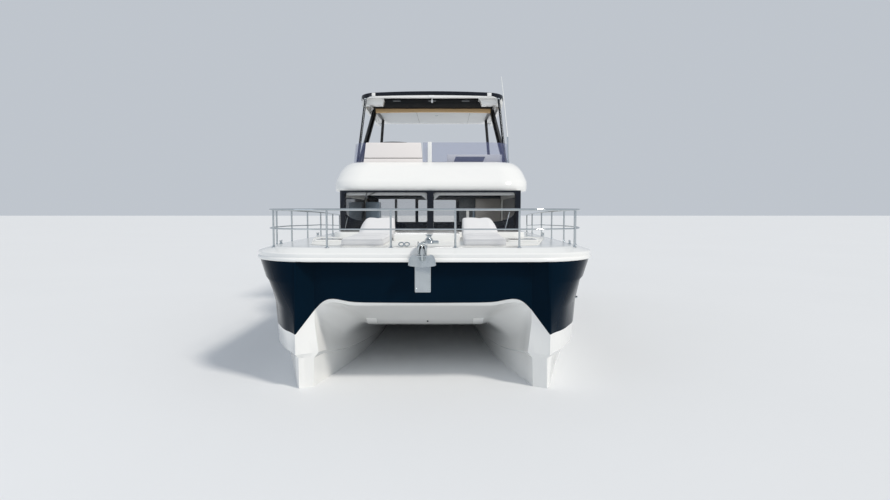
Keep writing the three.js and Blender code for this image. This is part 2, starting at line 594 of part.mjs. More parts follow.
// Posts of the hardtop
for (const [side, name] of [[-1, 'starboard'], [1, 'port']]) {
  const railZ = hardtopZ - gap - 42;
  const frame = join(
    bar([side * 1795, 1200, coamingZ + 38], [side * 1530, 2240, railZ], 60, 12),
    bar([side * 1530, 2200, railZ], [side * 1500, 4000, railZ], 42, 8),
    bar([side * 1500, 3960, railZ], [side * 1740, 4620, flyDeckZ + 30], 42, 10),
    bar([side * 1740, 4620, flyDeckZ + gap], [side * 1740, 4620, flyDeckZ + 34], 60, 10),
    bar([side * 1795, 1200, coamingZ + gap], [side * 1795, 1200, coamingZ + 40], 64, 12));
  place(`hardtop_frame_${name}`, frame, 'blackPaint');
  const stay = join(
    bar([side * 1676, 66, coamingZ + 20], [side * 1575, 750, hardtopZ - 20], 19, 8),
    bar([side * 1676, 66, coamingZ + gap], [side * 1676, 66, coamingZ + 30], 24, 8),
    bar([side * 1575, 750, hardtopZ - 40], [side * 1575, 750, hardtopZ - gap], 24, 8));
  place(`hardtop_stay_${name}`, stay, 'blackPaint');
}
place('antenna', join(
  bar([1720, -60, coamingZ + gap], [1720, -60, coamingZ + 60], 20, 10),
  bar([1720, -60, coamingZ + 40], [1712, -20, 4120], 13, 8),
  bar([1712, -24, 4100], [1625, 640, 5640], 9, 6, 4)), 'steel');

// Pillars under the aft overhang of the flybridge
const pillarFoot = [2260, 4250, deckTopZ];
for (const [side, name] of [[-1, 'starboard'], [1, 'port']]) {
  const foot = [side * pillarFoot[0], pillarFoot[1], deckTopZ + gap];
  const top = [side * 1990, 4250, roofZ - gap];
  place(`roof_pillar_${name}`, join(
    bar(foot, [foot[0], foot[1], foot[2] + 20], 55, 10),
    bar([foot[0], foot[1], foot[2] + 10], [top[0], top[1], top[2] - 12], 30, 8),
    bar([top[0], top[1], top[2] - 24], top, 50, 10)), 'steel');
}

// Bow rail. Points of one side: x, y, height of the top rail
const railPath = [
  [1345, -5215, railTopZ], [1830, -5100, railTopZ], [2200, -4830, railTopZ], [2345, -4480, railTopZ],
  [2415, -3900, 2478], [2430, -2900, 2470], [2430, -1680, 2450], [2430, -430, 2430],
  [2430, 970, 2390], [2430, 1900, 2360],
];
const railRadius = 16;
const midRailDrop = 275;
const postRows = [0, 2, 4, 5, 6, 7, 8, 9];
function bowRail() {
  const start = railPath[0];
  const last = railPath.at(-1);
  const half = [[450, -5222, railTopZ], ...railPath];
  const level = (drop) => {
    const port = half.map(([x, y, z]) => [x, y, z - drop]);
    return [...port.toReversed(), ...port.map(([x, y, z]) => [-x, y, z])];
  };
  const posts = [];
  for (const side of [-1, 1]) {
    for (const [x, y, z] of [half[0], ...postRows.map((row) => railPath[row])]) {
      posts.push(bar([side * x, y, hullTopZ + 40], [side * x, y, z], 14.5, 8));
    }
  }
  const rails = join(tube(level(0), railRadius, 72, 8), tube(level(midRailDrop), 10, 72, 6), ...posts);
  return cut(rails, deckSolid.translate([0, 0, gap]), box(-3000, 3000, start[1] - 500, last[1] + 500, 0, hullTopZ + 60));
}
// A sleeve joint on the centreline divides the rail
const rails = bowRail();
place('bow_rail_port', rails.intersect(box(gap / 2, beam, bowY - 100, sternY, 0, railTopZ + 100)), 'steel');
place('bow_rail_starboard', rails.intersect(box(-beam, -gap / 2, bowY - 100, sternY, 0, railTopZ + 100)), 'steel');

// Guard rail round the aft end of the flybridge
const flyRail = { x: 1900, y: [3880, 4800], top: 3950, mids: [3370, 3660] };
function aftRail() {
  const corners = (z) => [[flyRail.x, flyRail.y[0], z], [flyRail.x, 4480, z], [flyRail.x, 4560, z],
    [flyRail.x - 60, 4740, z], [flyRail.x - 240, flyRail.y[1], z], [1500, flyRail.y[1], z], [600, flyRail.y[1], z]];
  const path = (z) => [...corners(z), ...corners(z).toReversed().map(([x, y]) => [-x, y, z])];
  const posts = [];
  for (const side of [-1, 1]) {
    for (const [x, y] of [[flyRail.x, 3890], [flyRail.x, 4480], [1500, 4800], [600, 4800]]) {
      posts.push(bar([side * x, y, flyDeckZ + gap], [side * x, y, flyRail.top], 14, 8));
    }
  }
  const tubes = [tube(path(flyRail.top), 16, 36, 8), ...flyRail.mids.map((z) => tube(path(z), 9, 36, 6))];
  return join(...tubes, ...posts);
}
place('fly_rail', aftRail(), 'steel');

// Anchor gear at the bow
const guardPlate = { half: 110, y: [frontY - 8, frontY - gap], z: [1340, hullTopZ - 1] };
function anchorRoller() {
  const cheek = [[-5600, 1925], [-5560, 1905], [-5512, 1905], [-5505, 1955], [-5160, 1975], [-5160, 2010],
    [-5480, 2050], [-5600, 2010]];
  return join(
    prismX(cheek.toReversed(), -62, -54), prismX(cheek.toReversed(), 54, 62),
    box(-62, 62, -5520, -5160, 1940, 1966),
    box(-62, 62, -5520, -5512, hullTopZ - 9, 1966),
    box(-62, 62, -5520, guardPlate.y[1], hullTopZ - 9, hullTopZ - 1),
    box(-guardPlate.half, guardPlate.half, ...guardPlate.y, ...guardPlate.z),
    bar([-58, -5575, 1975], [58, -5575, 1975], 12, 8));
}
place('anchor_roller', cut(anchorRoller(), deckSolid.translate([0, -gap, gap])), 'steel');
function anchor() {
  const wing = [[0, 1832], [60, 1850], [112, 1884], [160, 1840], [182, 1738], [95, 1716], [0, 1760]];
  const fluke = prismY([...wing, ...wing.slice(1, -1).toReversed().map(([x, z]) => [-x, z])], -5552, -5532);
  const shank = prismX([[-5600, 1800], [-5540, 1780], [-5536, 1935], [-5560, 1990], [-5100, 2000], [-5100, 2040],
    [-5590, 2040], [-5625, 1990]].toReversed(), -9, 9);
  return join(fluke, shank);
}
place('anchor', cut(anchor(), bar([-58, -5575, 1975], [58, -5575, 1975], 13, 8)), 'galvanised');
const windlassAt = [60, -4400, deckTopZ];
const [wx, wy, wz] = windlassAt;
place('windlass', join(
  bar([wx, wy, wz + gap], [wx, wy, wz + 40], 90, 16),
  bar([wx, wy, wz + 30], [wx, wy, wz + 70], 70, 16),
  box(wx + 20, wx + 150, wy - 60, wy + 60, wz + gap, wz + 60),
  bar([wx, wy, wz + 69], [wx, wy, wz + 92], 58, 16, 34),
  bar([wx, wy, wz + 90], [wx, wy, wz + 128], 32, 16),
  bar([wx, wy, wz + 126], [wx, wy, wz + 150], 34, 16, 56)), 'steel');

// Sun loungers of the foredeck: side profile, wider aft, narrowed outboard towards the top
const lounger = { x: [565, 1300], frontX: 1190, topX: 1150, y: [-5000, -2380], seat: 2050, back: 2330 };
function sunLounger() {
  const profile = [[lounger.y[0], deckTopZ + gap], [lounger.y[1], deckTopZ + gap], [-2390, lounger.back],
    [-2500, lounger.back], [-2720, 2068], [lounger.y[0] + 20, lounger.seat], [lounger.y[0], 2030]];
  const flank = prismY([[lounger.x[1] + 10, lounger.seat + 8], [lounger.x[1] + 10, 2400], [lounger.topX - 20, 2400],
    [lounger.topX, lounger.back], [lounger.topX + 60, 2200], [lounger.x[1] - 10, lounger.seat + 25]].toReversed(),
  -3000, -2000);
  const plan = [[lounger.x[0], lounger.y[0]], [lounger.frontX, lounger.y[0]], [lounger.x[1], -2700],
    [lounger.x[1], lounger.y[1]], [lounger.x[0], lounger.y[1]]];
  return cut(prismX(profile, ...lounger.x), flank).intersect(prismZ(plan, deckTopZ, lounger.back + 50));
}
const portLounger = sunLounger();
place('sun_lounger_port', portLounger, 'vinyl');
place('sun_lounger_starboard', mirrorX(portLounger), 'vinyl');

// Engines with their hatches, shafts, propellers and rudders
const engine = join(
  box(keelX - engineSize.half, keelX + engineSize.half, ...engineSize.y, engineBay.floor + gap,
    engineBay.floor + engineSize.height));
place('engine_port', engine, 'castIron');
place('engine_starboard', mirrorX(engine), 'castIron');
const engineLid = box(...engineHatch.x, ...engineHatch.y, soleZ - engineHatch.depth, soleZ);
place('engine_hatch_port', engineLid, 'whiteGelcoat');
place('engine_hatch_starboard', mirrorX(engineLid), 'whiteGelcoat');

function shaftTube() {
  const strutY = 3800;
  const strut = prismX([[strutY - 60, -700], [strutY + 50, -700], [strutY + 10, -430], [strutY - 90, -430]],
    keelX - 10, keelX + 10);
  return cut(join(bar(shaftStart, shaftEnd, shaftRadius, 12), strut), portHull.translate([0, gap, -gap]));
}
const portShaft = shaftTube();
place('shaft_port', portShaft, 'steel');
place('shaft_starboard', mirrorX(portShaft), 'steel');

// Blade sections: [radius, chord, thickness]
const bladeSections = [[40, 90, 20], [95, 150, 14], [155, 165, 9], [200, 110, 5], [215, 40, 3]];
function propellerSolid() {
  const ring = ([radius, chord, thickness]) => {
    const pitchAngle = Math.atan(propeller.pitch / (2 * Math.PI * radius));
    const section = [[-0.5, 0], [-0.25, -0.5], [0.25, -0.5], [0.5, 0], [0.25, 0.5], [-0.25, 0.5]];
    return section.map(([u, v]) => {
      const along = u * chord * Math.cos(pitchAngle) - v * thickness * Math.sin(pitchAngle);
      const axial = u * chord * Math.sin(pitchAngle) + v * thickness * Math.cos(pitchAngle);
      const angle = along / radius;
      return [radius * Math.cos(angle), radius * Math.sin(angle), Math.max(-50, Math.min(50, axial))];
    });
  };
  const blade = loft(bladeSections.map(ring), (p) => [p[1], p[2]]);
  const blades = [0, 90, 180, 270].map((degrees) => blade.rotate([0, 0, degrees]));
  const hub = bar([0, 0, -propeller.hubHalf], [0, 0, propeller.hubHalf], propeller.hubRadius, 16);
  const cone = bar([0, 0, propeller.hubHalf - 1], [0, 0, propeller.hubHalf + 60], propeller.hubRadius, 16, 8);
  return join(hub, cone, ...blades);
}
const shaftDown = THREE.MathUtils.radToDeg(Math.atan2(shaftStart[2] - shaftEnd[2], shaftEnd[1] - shaftStart[1]));
const portPropeller = propellerSolid().rotate([-90 - shaftDown, 0, 0]).translate(propeller.at);
place('propeller_port', portPropeller, 'bronze', propeller.at);
place('propeller_starboard', mirrorX(portPropeller), 'bronze', [-keelX, propeller.at[1], propeller.at[2]]);

function rudderSolid() {
  const { stockY, top, bottom, stockRadius, stockTop } = rudder;
  const blade = (z, chord) => [[0, -0.27], [0.055, -0.17], [0.06, 0], [0.035, 0.4], [0.008, 0.73], [-0.008, 0.73],
    [-0.035, 0.4], [-0.06, 0], [-0.055, -0.17]].map(([x, y]) => [keelX + x * chord, stockY + y * chord, z]);
  return join(loft([blade(bottom, 330), blade(top, 420)], alongZ),
    bar([keelX, stockY, top - 60], [keelX, stockY, stockTop], stockRadius, 24));
}
const portRudder = rudderSolid();
place('rudder_port', portRudder, 'bronze', [keelX, rudder.stockY, rudder.top]);
place('rudder_starboard', mirrorX(portRudder), 'bronze', [-keelX, rudder.stockY, rudder.top]);

// Boarding ladder, folded on the starboard bathing platform
const ladderZ = platformZ + gap + ladder.barRadius;
function boardingLadder() {
  const [x0, x1] = ladder.x;
  const z = ladderZ;
  const rails = [x0, x1].map((x) => bar([x, ladder.y[0], z], [x, ladder.y[1], z], ladder.barRadius, 8));
  const rungs = [5080, 5250, 5420].map((y) => box(x0, x1, y, y + 70, z - 10, z + 10));
  const pin = bar([x0 - ladder.overhang, ladder.hingeY, z], [x1 + ladder.overhang, ladder.hingeY, z], 14, 8);
  return join(...rails, ...rungs, pin);
}
place('boarding_ladder', boardingLadder(), 'steel', [-1690, ladder.hingeY, ladderZ]);

// Saloon: helm, seats, galley and table
const helmFace = [[-380, 1640], [-560, 1960]];
place('helm_console', prismX([[-930, soleZ + gap], [-380, soleZ + gap], ...helmFace, [-930, 2000]],
  -1500, -560), 'blackPaint');
const helmWheel = wheelSeat(-1030, 1780, [...helmFace[0], ...helmFace[1]]);
place('helm_wheel', wheel(helmWheel), 'steel', helmWheel.at);
place('helm_seat', helmSeat(-1030, 380, soleZ, 640), 'darkVinyl');
place('galley', join(
  box(-1820, -1180, 1150, 3020, soleZ + gap, 1820),
  box(-1820, -1180, 2450, 3020, soleZ + gap, 2560)), 'whiteGelcoat');
place('saloon_sofa', join(
  box(1150, 1820, -300, 2500, soleZ + gap, 1360),
  box(1690, 1820, -300, 2500, soleZ + gap, 1780),
  box(500, 1820, -900, -300, soleZ + gap, 1360),
  box(500, 1820, -900, -780, soleZ + gap, 1780)), 'darkVinyl');

// Cockpit bench and the stair to the flybridge
place('cockpit_bench', join(
  box(-780, 600, 4280, 4880, soleZ + gap, 1330),
  box(-780, 600, 4740, 4880, soleZ + gap, 1760)), 'vinyl');
const stair = { x: [690, 1220], bottomY: 4480, treads: 8, rise: 240, run: 128, treadDepth: 210 };
function flyStair() {
  const stringer = [[stair.bottomY, soleZ + gap], [4200, soleZ + gap], [stairwell.y[0] + gap, 2600],
    [stairwell.y[0] + gap, flyDeckZ - 20], [3420, flyDeckZ - 20]].toReversed();
  const sides = [[stair.x[0], stair.x[0] + 30], [stair.x[1] - 30, stair.x[1]]].map((x) => prismX(stringer, ...x));
  const treads = [];
  for (let i = 1; i <= stair.treads; i += 1) {
    const z = soleZ + i * stair.rise;
    const y = stair.bottomY - 40 - i * stair.run;
    treads.push(box(stair.x[0] + 10, stair.x[1] - 10, y - stair.treadDepth / 2, y + stair.treadDepth / 2, z - 35, z));
  }
  return join(...sides, ...treads);
}
place('fly_stair', flyStair(), 'teak');

export default boat;
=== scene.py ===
import math

import bmesh
import bpy
import numpy as np
from mathutils import Matrix, Vector
from mathutils.bvhtree import BVHTree


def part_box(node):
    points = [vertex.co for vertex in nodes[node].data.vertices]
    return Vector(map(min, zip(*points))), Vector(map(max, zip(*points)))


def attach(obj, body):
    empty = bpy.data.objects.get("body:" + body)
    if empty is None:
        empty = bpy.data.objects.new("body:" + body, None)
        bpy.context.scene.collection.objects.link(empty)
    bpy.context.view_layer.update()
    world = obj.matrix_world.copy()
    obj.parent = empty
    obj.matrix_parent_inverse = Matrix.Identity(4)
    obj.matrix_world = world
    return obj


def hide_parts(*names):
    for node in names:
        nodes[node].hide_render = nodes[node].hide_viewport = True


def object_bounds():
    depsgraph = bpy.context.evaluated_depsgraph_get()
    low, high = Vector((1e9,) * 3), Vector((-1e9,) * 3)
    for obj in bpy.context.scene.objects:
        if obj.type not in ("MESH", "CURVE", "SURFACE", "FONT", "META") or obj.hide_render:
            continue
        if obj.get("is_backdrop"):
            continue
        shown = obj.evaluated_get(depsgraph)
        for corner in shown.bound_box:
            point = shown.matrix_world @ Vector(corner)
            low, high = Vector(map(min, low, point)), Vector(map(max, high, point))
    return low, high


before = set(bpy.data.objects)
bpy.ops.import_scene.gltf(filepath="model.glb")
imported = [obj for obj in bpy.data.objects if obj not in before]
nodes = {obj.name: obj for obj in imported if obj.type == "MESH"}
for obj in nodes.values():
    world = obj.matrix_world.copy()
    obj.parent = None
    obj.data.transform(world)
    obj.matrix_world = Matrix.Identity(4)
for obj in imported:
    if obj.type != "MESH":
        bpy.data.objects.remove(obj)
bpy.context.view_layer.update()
print("frame loaded,", len(nodes), "nodes")


# Finishes

def linear(code):
    channels = [int(code[i:i + 2], 16) / 255 for i in (1, 3, 5)]
    return [c / 12.92 if c <= 0.04045 else ((c + 0.055) / 1.055) ** 2.4 for c in channels] + [1]


def addNode(tree, kind, inputs=None, **settings):
    node = tree.nodes.new(kind)
    for name, value in settings.items():
        setattr(node, name, value)
    for key, value in (inputs or {}).items():
        socket = node.inputs[key]
        if isinstance(value, bpy.types.NodeSocket):
            tree.links.new(value, socket)
        else:
            socket.default_value = value
    return node


# Sockets of a colour Mix node
mixFactor, mixFirst, mixSecond, mixResult = 0, 6, 7, 2


def finish(name, light, dark, patch, rough, spread, grain, depth, fixed=None, pattern="noise", stretch=(1, 1, 1)):
    # light and dark: the two colours it drifts between, in patches of that size in metres
    # rough and spread: middle and range of the roughness; grain and depth: pitch and height of the surface, metres
    material = bpy.data.materials.new(name)
    material.use_nodes = True
    tree = material.node_tree
    tree.nodes.clear()
    place = addNode(tree, "ShaderNodeTexCoord").outputs["Object"]
    mapped = addNode(tree, "ShaderNodeMapping", {"Vector": place, "Scale": stretch}).outputs["Vector"]
    clouds = addNode(tree, "ShaderNodeTexNoise", {
        "Vector": mapped, "Scale": 1 / patch, "Detail": 5.0, "Roughness": 0.6}).outputs["Fac"]
    colour = addNode(tree, "ShaderNodeMix", {
        mixFactor: clouds, mixFirst: linear(dark), mixSecond: linear(light)}, data_type="RGBA").outputs[mixResult]
    roughness = addNode(tree, "ShaderNodeMapRange", {
        "Value": clouds, "From Min": 0.3, "From Max": 0.7, "To Min": rough - spread, "To Max": rough + spread})
    if pattern == "cells":
        relief = addNode(tree, "ShaderNodeTexVoronoi", {"Vector": mapped, "Scale": 1 / grain}).outputs["Distance"]
    elif pattern == "wood":
        relief = addNode(tree, "ShaderNodeTexNoise", {
            "Vector": mapped, "Scale": 1 / grain, "Detail": 8.0, "Distortion": 1.2}).outputs["Fac"]
        colour = addNode(tree, "ShaderNodeMix", {
            mixFactor: relief, mixFirst: linear(dark), mixSecond: linear(light)}, data_type="RGBA").outputs[mixResult]
    else:
        relief = addNode(tree, "ShaderNodeTexNoise", {
            "Vector": mapped, "Scale": 1 / grain, "Detail": 3.0}).outputs["Fac"]
    bump = addNode(tree, "ShaderNodeBump", {"Height": relief, "Strength": 1.0, "Distance": depth})
    shader = addNode(tree, "ShaderNodeBsdfPrincipled", {
        "Base Color": colour, "Roughness": roughness.outputs["Result"], "Normal": bump.outputs["Normal"],
        **(fixed or {})})
    addNode(tree, "ShaderNodeOutputMaterial", {"Surface": shader.outputs["BSDF"]})
    return material


# White gelcoat, sprayed in a mould and polished: a wet gloss with a trace of orange peel
gelcoatWhite = finish("polishedWhiteGelcoat", "#F6F6F3", "#EEEFEE", 0.9, 0.16, 0.03, 0.018, 0.00002,
                      {"Coat Weight": 0.4})
# The pod's gelcoat has aged to a warm off-white
gelcoatCream = finish("warmWhiteGelcoat", "#F1ECEA", "#EAE4E1", 0.7, 0.2, 0.04, 0.018, 0.00002, {"Coat Weight": 0.3})
# Navy gelcoat, polished: almost black from in front, with only a weak mirror image of the pale floor
gelcoatNavy = finish("polishedNavyGelcoat", "#03192A", "#02131F", 0.7, 0.14, 0.04, 0.02, 0.00003,
                     {"Specular IOR Level": 0.03})
# Moulded non-skid: a blunt pattern of small studs, drawn at 9 mm, that kills the gloss
nonSkid = finish("mouldedNonSkid", "#ECECE9", "#E2E3E1", 0.5, 0.55, 0.05, 0.009, 0.0012, pattern="cells")
# Stainless tube, drawn and mirror polished
steelPolished = finish("polishedStainless", "#C9CFD2", "#B3BABE", 0.12, 0.1, 0.04, 0.01, 0.00001, {"Metallic": 1.0})
# Steel sheet with a brushed face, softer highlights than the tube
steelBrushed = finish("brushedStainless", "#C9CDD0", "#B2B7BB", 0.05, 0.24, 0.06, 0.002, 0.00002, {"Metallic": 1.0},
                      stretch=(1, 1, 0.1))
# Powder coat on the posts: black with a fine eggshell texture
powderBlack = finish("blackPowderCoat", "#101317", "#0B0D10", 0.2, 0.34, 0.06, 0.003, 0.00004)
# Gloss black laminate of the roof and the window surrounds
glossBlack = finish("glossBlackPaint", "#0A1220", "#070D18", 0.5, 0.12, 0.03, 0.02, 0.00002,
                    {"Specular IOR Level": 0.35})
# Pale marine vinyl: soft leather grain, drawn at 4 mm, and a faint sheen
vinylPale = finish("paleMarineVinyl", "#E8E8E9", "#DEDEDF", 0.25, 0.52, 0.06, 0.004, 0.0003,
                   {"Sheen Weight": 0.12}, pattern="cells")
# Piping of the pads, a shade darker, so that their edges can be read
vinylWelt = finish("vinylWelt", "#D4D4D6", "#C8C8CA", 0.2, 0.5, 0.05, 0.004, 0.0001)
# Charcoal upholstery of the saloon: woven, without gloss, a soft sheen at its edges
fabricDark = finish("charcoalUpholstery", "#474C52", "#353A40", 0.15, 0.8, 0.05, 0.003, 0.0004,
                    {"Sheen Weight": 0.25}, pattern="cells")
# Piping of the charcoal pads, nearly black
fabricWelt = finish("charcoalWelt", "#2E3237", "#25292D", 0.15, 0.75, 0.05, 0.003, 0.0001)
# Oiled teak: straight grain along the plank, thin dark pores
teakOiled = finish("oiledTeak", "#B08A5C", "#866542", 0.4, 0.55, 0.08, 0.02, 0.0003, pattern="wood",
                   stretch=(8, 1, 8))
# Light wood of the hardtop beam, satin lacquer, grain across the boat
beamWood = finish("satinAshBeam", "#F2D3A2", "#DDB47E", 0.4, 0.42, 0.05, 0.02, 0.0002, pattern="wood",
                  stretch=(0.7, 6, 6))
# Cast bronze of propellers and rudders: warm metal with uneven gloss
bronzeCast = finish("castBronze", "#C09A5C", "#94713D", 0.08, 0.35, 0.08, 0.006, 0.0002, {"Metallic": 1.0})
# Painted cast iron of the engines: plain grey, half matt
ironPainted = finish("paintedIron", "#9CA0A2", "#85898B", 0.1, 0.5, 0.08, 0.006, 0.0003)
# Galvanised and polished steel: pale grey, its highlights a little clouded
galvanised = finish("galvanisedSteel", "#D3D8D9", "#BCC3C6", 0.12, 0.2, 0.04, 0.012, 0.00001, {"Metallic": 0.95})
# Dull black lining: it swallows the light, so the edge lamps stand out
blackMatte = finish("mattBlackLining", "#050A10", "#04070B", 0.3, 0.8, 0.05, 0.004, 0.00005,
                    {"Specular IOR Level": 0.12})
# Anodised black tube of the stays, bright where it catches the light
blackPolished = finish("blackAnodisedTube", "#2A2E33", "#1D2024", 0.2, 0.16, 0.04, 0.01, 0.00002, {"Metallic": 0.8})
# Black rubber and caulking: matt, it shows as a dark line
rubberBlack = finish("blackRubber", "#17191B", "#0F1012", 0.05, 0.75, 0.08, 0.004, 0.0001)
# Textured grey moulding of dash and seat shells
mouldedGrey = finish("mouldedGreyPlastic", "#52575C", "#43484D", 0.2, 0.5, 0.06, 0.003, 0.0002)
# Headliner and inner mouldings, eggshell white
linerWhite = finish("eggshellLiner", "#E4E6E6", "#D8DADB", 0.4, 0.5, 0.06, 0.006, 0.0001)
# Panels of the saloon: laminate whose warm grey is painted shade of the dim saloon
panelWarmPaintedShade = finish("warmGreyPaintedShade", "#9B9894", "#8B8885", 0.5, 0.4, 0.06, 0.01, 0.00005)
# The same laminate in a cool blue-grey that is painted shade, for the tall unit and the strip beside the lamp
panelCoolPaintedShade = finish("coolBluePaintedShade", "#8494A3", "#748493", 0.5, 0.4, 0.06, 0.01, 0.00005)
# Frosted lens of the lamps: plain white, a little gloss
lampLens = finish("frostedLens", "#FFFFFF", "#F4F6F6", 0.05, 0.25, 0.05, 0.004, 0.00002)
# Glass of the displays: black and sharply mirroring
displayGlass = finish("displayGlass", "#06080B", "#040507", 0.1, 0.05, 0.02, 0.05, 0.00001, {"Coat Weight": 0.8})
# Toughened glass, slightly grey: clear enough to show the saloon
glassClear = finish("toughenedGlass", "#0E161A", "#0A1014", 0.6, 0.03, 0.01, 0.2, 0.00002,
                    {"Alpha": 0.09, "IOR": 1.5})
# Privacy glass of the cabin sides, much darker
glassDark = finish("privacyGlass", "#0A1013", "#070B0E", 0.6, 0.04, 0.01, 0.2, 0.00002, {"Alpha": 0.82, "IOR": 1.8})
# Cast acrylic of the wind screen, blue-grey all through
acrylicBlue = finish("tintedAcrylic", "#8088B4", "#747DAA", 0.6, 0.04, 0.01, 0.2, 0.00002,
                     {"Alpha": 0.19, "IOR": 1.5})
print("finishes ready")


# Making meshes: a part is (points, faces)

def fromBmesh(bm):
    bm.verts.index_update()
    part = ([tuple(v.co) for v in bm.verts], [[v.index for v in f.verts] for f in bm.faces])
    bm.free()
    return part


def boxPart(x, y, z, bevel=0.0, segments=2):
    bm = bmesh.new()
    bmesh.ops.create_cube(bm, size=1)
    for v in bm.verts:
        v.co = Vector([(r[0] + r[1]) / 2 + c * (r[1] - r[0]) for c, r in zip(v.co, (x, y, z))])
    if bevel:
        bmesh.ops.bevel(bm, geom=bm.edges[:], offset=bevel, segments=segments, profile=0.5, affect="EDGES")
    return fromBmesh(bm)


def loftPart(rings, closedRing=True, caps=True):
    count = len(rings[0])
    points = [tuple(p) for ring in rings for p in ring]
    faces = []
    for r in range(len(rings) - 1):
        for i in range(count if closedRing else count - 1):
            j = (i + 1) % count
            faces.append([r * count + i, r * count + j, (r + 1) * count + j, (r + 1) * count + i])
    if caps:
        faces.append(list(range(count))[::-1])
        faces.append([(len(rings) - 1) * count + i for i in range(count)])
    return points, faces


def around(steps):
    return [2 * math.pi * k / steps for k in range(steps)]


def turnedFrame(direction):
    return Vector((0, 0, 1)).rotation_difference(direction.normalized()).to_matrix()


def tubePart(path, radius, sides=12, closed=False, flatten=(1, 1)):
    path = [Vector(p) for p in path]
    radii = radius if isinstance(radius, (list, tuple)) else [radius] * len(path)
    count = len(path)
    rings = []
    side = None
    for i, p in enumerate(path):
        before = path[i - 1] if i or closed else path[0]
        after = path[(i + 1) % count] if i + 1 < count or closed else path[-1]
        along = (after - before).normalized()
        if side is None:
            side = Vector((1, 0, 0)) if abs(along.x) < 0.9 else Vector((0, 1, 0))
        side = (side - along * side.dot(along)).normalized()
        other = along.cross(side)
        rings.append([p + side * (math.cos(a) * radii[i] * flatten[0]) + other * (math.sin(a) * radii[i] * flatten[1])
                      for a in around(sides)])
    return loftPart(rings + rings[:1], caps=False) if closed else loftPart(rings)


def lathePart(profile, centre=(0, 0, 0), axis=(0, 0, 1), steps=28):
    turn = turnedFrame(Vector(axis))
    rings = []
    for radius, height in profile:
        wide = max(radius, 0.0006)
        rings.append([Vector(centre) + turn @ Vector((wide * math.cos(a), wide * math.sin(a), height))
                      for a in around(steps)])
    return loftPart(rings)


def prismPart(outline, low, high, along="z", bevel=0.0):
    place = "xyz".index(along)
    part = loftPart([[(*p[:place], h, *p[place:]) for p in outline] for h in (low, high)])
    if not bevel:
        return part
    bm = bmesh.new()
    made = [bm.verts.new(p) for p in part[0]]
    for face in part[1]:
        bm.faces.new([made[i] for i in face])
    bmesh.ops.recalc_face_normals(bm, faces=bm.faces)
    rims = [e for e in bm.edges if e.calc_face_angle(0) > math.radians(35)]
    bmesh.ops.bevel(bm, geom=rims, offset=bevel, segments=3, profile=0.5, affect="EDGES", clamp_overlap=True)
    return fromBmesh(bm)


def cornerArcs(corners, steps):
    # corners: (centre x, centre y, radius, start angle), a quarter turn each
    return [(cx + radius * math.cos(a), cy + radius * math.sin(a)) for cx, cy, radius, start in corners
            for a in (math.radians(start + 90 * i / steps) for i in range(steps + 1))]


def roundedRect(x, y, radius, steps=8):
    low, high = (x[0] + radius, y[0] + radius), (x[1] - radius, y[1] - radius)
    return cornerArcs([(high[0], low[1], radius, -90), (*high, radius, 0), (low[0], high[1], radius, 90),
                       (*low, radius, 180)], steps)


def roundedPlan(half, front, aft, frontRadius, aftRadius, steps=12):
    # Plan of a deck or roof, symmetrical about the centreline, its aft corners rounded less than its front ones
    return cornerArcs([(half - frontRadius, front + frontRadius, frontRadius, -90),
                       (half - aftRadius, aft - aftRadius, aftRadius, 0),
                       (aftRadius - half, aft - aftRadius, aftRadius, 90),
                       (frontRadius - half, front + frontRadius, frontRadius, 180)], steps)


def shrunk(x, y, by):
    return (x[0] + by, x[1] - by), (y[0] + by, y[1] - by)


def mirrored(part):
    return [(-x, y, z) for x, y, z in part[0]], [f[::-1] for f in part[1]]


def sided(part, side):
    # The part as made for port, or mirrored to starboard
    return part if side > 0 else mirrored(part)


def moved(part, matrix):
    return [tuple(matrix @ Vector(p)) for p in part[0]], part[1]


def smoothAt(rows, x):
    # Values at x from a table of rows [x, values...], smooth and without overshoot
    rows = np.asarray(rows, float)
    xs, ys = rows[:, 0], rows[:, 1:]
    x = min(max(x, xs[0]), xs[-1])
    i = min(max(int(np.searchsorted(xs, x, side="right")) - 1, 0), len(xs) - 2)
    slope = np.diff(ys, axis=0) / np.diff(xs)[:, None]
    tangent = np.zeros_like(ys)
    tangent[0], tangent[-1] = slope[0], slope[-1]
    product = slope[:-1] * slope[1:]
    total = slope[:-1] + slope[1:]
    tangent[1:-1] = np.where(product > 0, 2 * product / np.where(total == 0, 1, total), 0)
    h = xs[i + 1] - xs[i]
    t = (x - xs[i]) / h
    return ((1 + 2 * t) * (1 - t) ** 2 * ys[i] + t * (1 - t) ** 2 * h * tangent[i]
            + t * t * (3 - 2 * t) * ys[i + 1] + t * t * (t - 1) * h * tangent[i + 1])


def curveThrough(points, counts):
    # Smooth curve through the points, with that many steps in each stretch
    pts = [np.asarray(p, float) for p in points]
    out = []
    for i, n in enumerate(counts):
        a = pts[i - 1] if i else 2 * pts[0] - pts[1]
        b, c = pts[i], pts[i + 1]
        d = pts[i + 2] if i + 2 < len(pts) else 2 * pts[-1] - pts[-2]
        for k in range(n):
            t = k / n
            out.append(0.5 * (2 * b + (c - a) * t + (2 * a - 5 * b + 4 * c - d) * t * t
                              + (3 * b - a - 3 * c + d) * t ** 3))
    return out + [pts[-1]]


